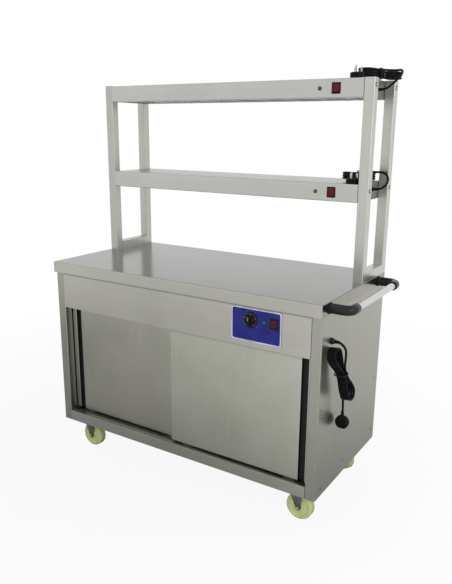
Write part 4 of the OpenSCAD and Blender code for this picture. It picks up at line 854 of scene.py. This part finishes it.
def rimShape(outer, inner, low, high, roundBy):
    shape = bmesh.new()
    rows = [[shape.verts.new((x, y, z)) for x, y in outline]
            for outline, z in ((outer, low), (outer, high), (inner, high), (inner, low))]
    for here, there in zip(rows, rows[1:] + rows[:1]):
        for k in range(len(here)):
            shape.faces.new((here[k - 1], here[k], there[k], there[k - 1]))
    tidy(shape)
    edges = [e for e in shape.edges
             if all(abs(v.co.z - high) < 1e-7 for v in e.verts) and e.calc_face_angle(0) > 0.5]
    roundEdges(shape, edges, roundBy, 2)
    return shape


def makePlateRim():
    inset, width = plate["inset"], plate["rim"]
    wide, high = plate["wide"] - 2 * inset, plate["high"] - 2 * inset
    outer = roundOutline(wide, high, plate["corner"] - inset)
    inner = roundOutline(wide - 2 * width, high - 2 * width, plate["innerCorner"])
    rim = rimShape(outer, inner, -plate["sink"], plate["proud"], plate["edge"])
    move(rim, facingFront(plate["at"]))
    addPiece("plateRim", rim, "plateRim", 30)


makePlateRim()
rings = [turnedShape(lampRing, 40, facingFront(at)) for at in lampPlaces]
addPiece("lampRings", joinShapes(rings), "darkWasher", 40)


# A ring and a line on the rockers, each at its own end; tilt and lean in degrees
rockers = {
    "main_rocker": (1.025, 0.0105, 0.725),
    "upper_rocker": (1.0635, 0.341, 1.491),
    "lower_rocker": (1.0635, 0.341, 1.138),
}
rockerMark = {"tilt": -7, "pivotBack": 0.004, "rise": 0.0072, "lean": 8.5, "out": 0.00725, "ring": 0.0024,
              "line": 0.0048, "stroke": 0.0006, "thick": 0.0001}


def makeRockerMarks(rocker, at):
    r, stroke, thick = rockerMark["ring"], rockerMark["stroke"], rockerMark["thick"]
    ring = turnedShape([(r - stroke, 0), (r, 0), (r, thick), (r - stroke, thick), (r - stroke, 0)], 32)
    line = slabShape(boxOutline(stroke, rockerMark["line"]), 0, thick)
    for mark, sign in ((ring, 1), (line, -1)):
        lie = axes(alongX, alongZ, -alongY, Vector((0, -rockerMark["out"], sign * rockerMark["rise"])))
        move(mark, lie @ Matrix.Rotation(math.radians(sign * rockerMark["lean"]), 4, "X"))
    whole = joinShapes([ring, line])
    pivot = place(at[0], at[1] + rockerMark["pivotBack"], at[2])
    move(whole, Matrix.Translation(pivot) @ Matrix.Rotation(math.radians(rockerMark["tilt"]), 4, "X"))
    addPiece(rocker + "_marks", whole, "rockerMark", 30, body=rocker)


for rocker, at in rockers.items():
    makeRockerMarks(rocker, at)


# Scale of fine ticks on the plate round the knob
plateScale = {"from": 0.0295, "to": 0.0325, "count": 11}


def makePlateScale():
    start, stop, count = plateScale["from"], plateScale["to"], plateScale["count"]
    ticks = []
    for k in range(count):
        tick = onFace(boxOutline(knob["stroke"], stop - start), 0, knob["markSink"], knob["markRise"])
        move(tick, onDial(k, count, (start + stop) / 2))
        ticks.append(tick)
    whole = joinShapes(ticks)
    move(whole, facingFront((knob["at"][0], plate["at"][1], knob["at"][2])))
    addPiece("plateScale", whole, "markWhite", 30)


makePlateScale()
print("controls are dressed")


# Black sheets in the doors' grip channels, a painted shade in the recess: the channel's left and right walls
# in X, its mouth and floor in Y
gripShadeSheets = {"left_door": (0.064, 0.089, 0.049, 0.061), "right_door": (1.1245, 1.1495, 0.027, 0.039)}
gripShadeSheet = {"sheet": 0.0008, "gap": 0.0001, "below": 0.0006, "bottom": 0.1702, "top": 0.6448}


def makeGripShadeSheet(door, channel):
    x0, x1, mouth, floor = channel
    gap, sheet = gripShadeSheet["gap"], gripShadeSheet["sheet"]
    x0, x1, mouth, floor = x0 + gap, x1 - gap, mouth + gripShadeSheet["below"], floor - gap
    outline = [(x0, mouth), (x0 + sheet, mouth), (x0 + sheet, floor - sheet), (x1 - sheet, floor - sheet),
               (x1 - sheet, mouth), (x1, mouth), (x1, floor), (x0, floor)]
    shadeSheet = slabShape(outline, gripShadeSheet["bottom"], gripShadeSheet["top"])
    tidy(shadeSheet)
    move(shadeSheet, Matrix.Translation(-planShift))
    addPiece(door + "_gripShadeSheet", shadeSheet, "gripBlack", 30, body=door)


for door, channel in gripShadeSheets.items():
    makeGripShadeSheet(door, channel)


# Ring that stands on the left or right side, with its outer edge broken from a share of its thickness up
def sideRing(sizes, x, y, z, out):
    inner, r, t, edge, share = (sizes[key] for key in ("inner", "outer", "thick", "edge", "edgeFrom"))
    section = [(inner, 0), (r, 0), (r, t * share), (r - edge, t), (inner, t), (inner, 0)]
    return turnedShape(section, 32, axes(out * alongY, alongZ, out * alongX, place(x, y, z)))


# Dark rings round the side panels' screws, and dark caps on the rivets near the right side's front edge
sideTrim = {
    "faces": ((1.199, 1), (0.001, -1)),
    "screws": [(0.552, 0.391), (0.552, 0.164), (0.254, 0.165), (0.058, 0.141), (0.116, 0.391)],
    "rivets": [(0.032, 0.421), (0.032, 0.434), (0.032, 0.45)],
    "ring": {"inner": 0.0033, "outer": 0.0058, "thick": 0.0004, "edge": 0.0002, "edgeFrom": 0.6},
    "cap": [(0, 0), (0.0027, 0), (0.0026, 0.0005), (0.0017, 0.0009), (0, 0.001)],
}


def makeSideTrim():
    rightSide = sideTrim["faces"][0][0]
    pieces = [sideRing(sideTrim["ring"], x, y, z, out)
              for x, out in sideTrim["faces"] for y, z in sideTrim["screws"]]
    for y, z in sideTrim["rivets"]:
        pieces.append(turnedShape(sideTrim["cap"], 24, axes(alongY, alongZ, alongX, place(rightSide, y, z))))
    addPiece("sideTrim", joinShapes(pieces), "gripBlack")


makeSideTrim()
print("doors and sides are dressed")


# Castors: a bright end on the axle bolt, at both legs of each fork; turns are the forks' angles at rest
axleEnd = {"radius": 0.0054, "from": 0.0272, "to": 0.0308, "edge": 0.0008, "turns": (0, 0, -30, -30)}


def makeAxleEnds(corner, turn):
    low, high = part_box(corner + "_wheel")
    at = (Vector(low) + Vector(high)) / 2
    turned = Matrix.Rotation(math.radians(turn), 3, "Z")
    r, start, stop, edge = axleEnd["radius"], axleEnd["from"], axleEnd["to"], axleEnd["edge"]
    section = [(0, start), (r, start), (r, stop - edge), (r - edge, stop), (0, stop)]
    ends = [turnedShape(section, 24, axes(turned @ alongX, -out * alongZ, turned @ (out * alongY), at))
            for out in (1, -1)]
    addPiece(corner + "_axleEnds", joinShapes(ends), "brightZinc", body=corner + "_fork")


for corner, turn in zip(corners, axleEnd["turns"]):
    makeAxleEnds(corner, turn)
print("castors are dressed")


# Heat lamps: quartz tubes with wound wire, in ceramic holders of a block and a nose. Each of those is its
# width, low and high side, rounding and the rounding's segments.
heatLamp = {
    "length": 0.5, "radius": 0.006, "wall": 0.001, "past": 0.004, "shelves": (1.106, 1.459), "rise": 0.01305,
    "middle": 0.463, "centres": (0.32305, 0.88195), "holder": 0.016,
    "block": (0.024, -0.0078, 0.0081, 0.0014, 3), "nose": (0.006, -0.0045, 0.0045, 0.001, 2),
    "noseLonger": 0.003, "coilRadius": 0.0028, "coilWire": 0.0005, "coilTurns": 70, "coilSteps": 10,
}


def lampTube(along):
    outer, past, end = heatLamp["radius"], heatLamp["past"], heatLamp["length"] + heatLamp["past"]
    bore = outer - heatLamp["wall"]
    return turnedShape([(bore, -past), (outer, -past), (outer, end), (bore, end), (bore, -past)], 32, along)


def lampHolder(at):
    deep = heatLamp["holder"]
    blockWide, *block = heatLamp["block"]
    noseWide, *nose = heatLamp["nose"]
    holder = welded([slabShape(boxOutline(blockWide, deep), *block),
                     slabShape(boxOutline(noseWide, deep + heatLamp["noseLonger"]), *nose)])
    move(holder, axes(-alongY, alongX, alongZ, at))
    return holder


def lampCoil(along):
    turn = heatLamp["coilSteps"]
    steps = heatLamp["coilTurns"] * turn
    r = heatLamp["coilRadius"]
    return [along @ Vector((r * math.cos(k * math.tau / turn), r * math.sin(k * math.tau / turn),
                            heatLamp["length"] * k / steps)) for k in range(steps + 1)]


def makeHeatLamps():
    tubes, holders, coils = [], [], []
    half = heatLamp["holder"] / 2
    for z in heatLamp["shelves"]:
        for centre in heatLamp["centres"]:
            at = place(centre - heatLamp["length"] / 2, heatLamp["middle"], z + heatLamp["rise"])
            along = axes(alongY, alongZ, alongX, at)
            tubes.append(lampTube(along))
            holders += [lampHolder(at + x * alongX) for x in (-half, heatLamp["length"] + half)]
            coils.append(lampCoil(along))
    addPiece("heatTubes", joinShapes(tubes), "quartz", 40, ("heat_lamps",))
    addPiece("lampHolders", joinShapes(holders), "ceramic", replaced=("heat_lamps",))
    for k, path in enumerate(coils, 1):
        curvePiece("lampCoil%d" % k, path, heatLamp["coilWire"], 0, "coilWire", ("heat_lamps",))


makeHeatLamps()
print("heat lamps are in place")


# Gantry trim: washers under the bolts and caps in the posts
gantry = {
    "faces": ((1.2, 1), (0.005, -1)),
    "boltPlaces": [(y, z) for y in (0.359, 0.567) for z in (1.147, 1.5)],
    "washer": {"inner": 0.0045, "outer": 0.0078, "thick": 0.0012, "edge": 0.0003, "edgeFrom": 0.7},
    "posts": [(x, y) for x in (0.005, 1.163) for y in (0.341, 0.549)],
    "postWide": 0.037, "postDeep": 0.036, "top": 1.523,
    "cap": {"smaller": 0.001, "corner": 0.003, "low": -0.0005, "high": 0.0013, "edge": 0.0005},
}


def makeGantryTrim():
    washers = [sideRing(gantry["washer"], x, y, z, out)
               for x, out in gantry["faces"] for y, z in gantry["boltPlaces"]]
    addPiece("boltWashers", joinShapes(washers), "darkWasher")
    wide, deep, look = gantry["postWide"], gantry["postDeep"], gantry["cap"]
    outline = roundOutline(wide - look["smaller"], deep - look["smaller"], look["corner"], 4)
    caps = []
    for x, y in gantry["posts"]:
        cap = slabShape(outline, look["low"], look["high"], look["edge"], 2)
        tidy(cap)
        move(cap, Matrix.Translation(place(x + wide / 2, y + deep / 2, gantry["top"])))
        caps.append(cap)
    addPiece("postCaps", joinShapes(caps), "capGrey")


makeGantryTrim()
print("gantry is dressed")


# Studio: white floor and background, soft lamps. Near the part the steel mirrors the floor as it is lit, with
# a painted shade in the floor's colour, dimmer towards -X and close by, and farther out it mirrors white,
# from fade's first distance to its second. leftShade holds that white back round a place on the left, a
# painted shade in the steel's reflections.
studio = {
    "floorRadius": 14,
    "floorColour": (0.9, 0.9, 0.9),
    "paintedLeftFloorShade": {"colour": (0.3, 0.3, 0.3), "from": -1.6, "to": 0.3},
    "paintedNearFloorShade": {"share": 0.45, "from": 0.4, "to": 1.3},
    "nearShare": {"seen": 0.92, "mirrored": 0.0},
    "fade": {"seen": (1.0, 2.6), "mirrored": (1.0, 3.0)},
    "leftShade": {"at": (-1.7, -1.0, 0), "from": 0.5, "to": 2.2, "low": 0.3},
    "floorGlow": 1.0,
    "skyLight": 0.45,
    "lamps": [
        {"name": "keyLamp", "at": (1.8, -3.6, 2.8), "aim": (0.3, 0, 0.8), "size": (2.2, 2.0), "power": 110,
         "mirrored": False},
        {"name": "fillLamp", "at": (3.6, -1.2, 2.0), "aim": (0.3, 0, 0.7), "size": (2.0, 2.0), "power": 26,
         "mirrored": True},
        {"name": "backLamp", "at": (-0.6, 3.2, 3.4), "aim": (0, 0, 1.0), "size": (3.0, 1.6), "power": 45,
         "mirrored": False},
    ],
}


# How much a ray shows the background: 1 from the camera, off metal and through glass
def backgroundRays(tree):
    rays = tree.nodes.new("ShaderNodeLightPath")
    total = rays.outputs["Is Camera Ray"]
    for kind in ("Is Glossy Ray", "Is Transmission Ray"):
        total = combine(tree, "MAXIMUM", total, rays.outputs[kind])
    return total


def makeWorld():
    world = bpy.data.worlds.new("studio")
    world.use_nodes = True
    tree = world.node_tree
    background = tree.nodes["Background"]
    background.inputs["Color"].default_value = (1, 1, 1, 1)
    level = tree.nodes.new("ShaderNodeMapRange")
    level.inputs["To Min"].default_value = studio["skyLight"]
    level.inputs["To Max"].default_value = 1.0
    tree.links.new(backgroundRays(tree), level.inputs["Value"])
    tree.links.new(level.outputs["Result"], background.inputs["Strength"])
    scene.world = world


# Share of white in the floor, by where it is and by the kind of ray that sees it
def floorWhite(tree, distance):
    look = studio["leftShade"]
    aside = distanceFrom(tree, look["at"])
    leftShade = spread(tree, aside, look["low"], 1.0, look["from"], look["to"])
    rays = tree.nodes.new("ShaderNodeLightPath")
    shares = []
    for kind, near in (("Is Camera Ray", "seen"), ("Is Glossy Ray", "mirrored"),
                       ("Is Transmission Ray", "mirrored")):
        fade = spread(tree, distance, studio["nearShare"][near], 1.0, *studio["fade"][near])
        share = combine(tree, "MULTIPLY", rays.outputs[kind], fade)
        if near == "mirrored":
            share = combine(tree, "MULTIPLY", leftShade, share)
        shares.append(share)
    bySight, byGloss, byGlass = shares
    return combine(tree, "MAXIMUM", combine(tree, "MAXIMUM", bySight, byGloss), byGlass)


def makeFloor():
    shape = bmesh.new()
    bmesh.ops.create_circle(shape, cap_ends=True, radius=studio["floorRadius"], segments=96)
    data = bpy.data.meshes.new("floor")
    shape.to_mesh(data)
    shape.free()
    floor = linked("floor", data)
    finish, tree, shader = finishNodes("studioFloor")
    # Painted shade: the floor's colour darkens towards -X and close to the part
    dim, close = studio["paintedLeftFloorShade"], studio["paintedNearFloorShade"]
    across = spread(tree, coordinates(tree, "Object")["X"], 0.0, 1.0, dim["from"], dim["to"])
    tone = mixColours(tree, across, dim["colour"], studio["floorColour"])
    distance = distanceFrom(tree, (0, 0, 0))
    paintedContactShade = spread(tree, distance, close["share"], 1.0, close["from"], close["to"])
    tree.links.new(darkened(tree, tone, paintedContactShade), shader.inputs["Base Color"])
    shader.inputs["Roughness"].default_value = 0.9
    shader.inputs["Specular IOR Level"].default_value = 0.0
    white = tree.nodes.new("ShaderNodeEmission")
    white.inputs["Strength"].default_value = studio["floorGlow"]
    mix = tree.nodes.new("ShaderNodeMixShader")
    tree.links.new(floorWhite(tree, distance), mix.inputs["Fac"])
    tree.links.new(shader.outputs["BSDF"], mix.inputs[1])
    tree.links.new(white.outputs["Emission"], mix.inputs[2])
    tree.links.new(mix.outputs["Shader"], tree.nodes["Material Output"].inputs["Surface"])
    data.materials.append(finish)


def makeLamp(look):
    data = bpy.data.lights.new(look["name"], "AREA")
    data.shape = "RECTANGLE"
    data.size, data.size_y = look["size"]
    data.energy = look["power"]
    lamp = linked(look["name"], data)
    lamp.visible_glossy = look["mirrored"]
    aim = Vector(look["aim"]) - Vector(look["at"])
    turned = aim.to_track_quat("-Z", "Y").to_matrix().to_4x4()
    lamp.matrix_world = Matrix.Translation(Vector(look["at"])) @ turned


makeWorld()
makeFloor()
for look in studio["lamps"]:
    makeLamp(look)
scene.view_settings.view_transform = "Standard"
print("studio is lit")
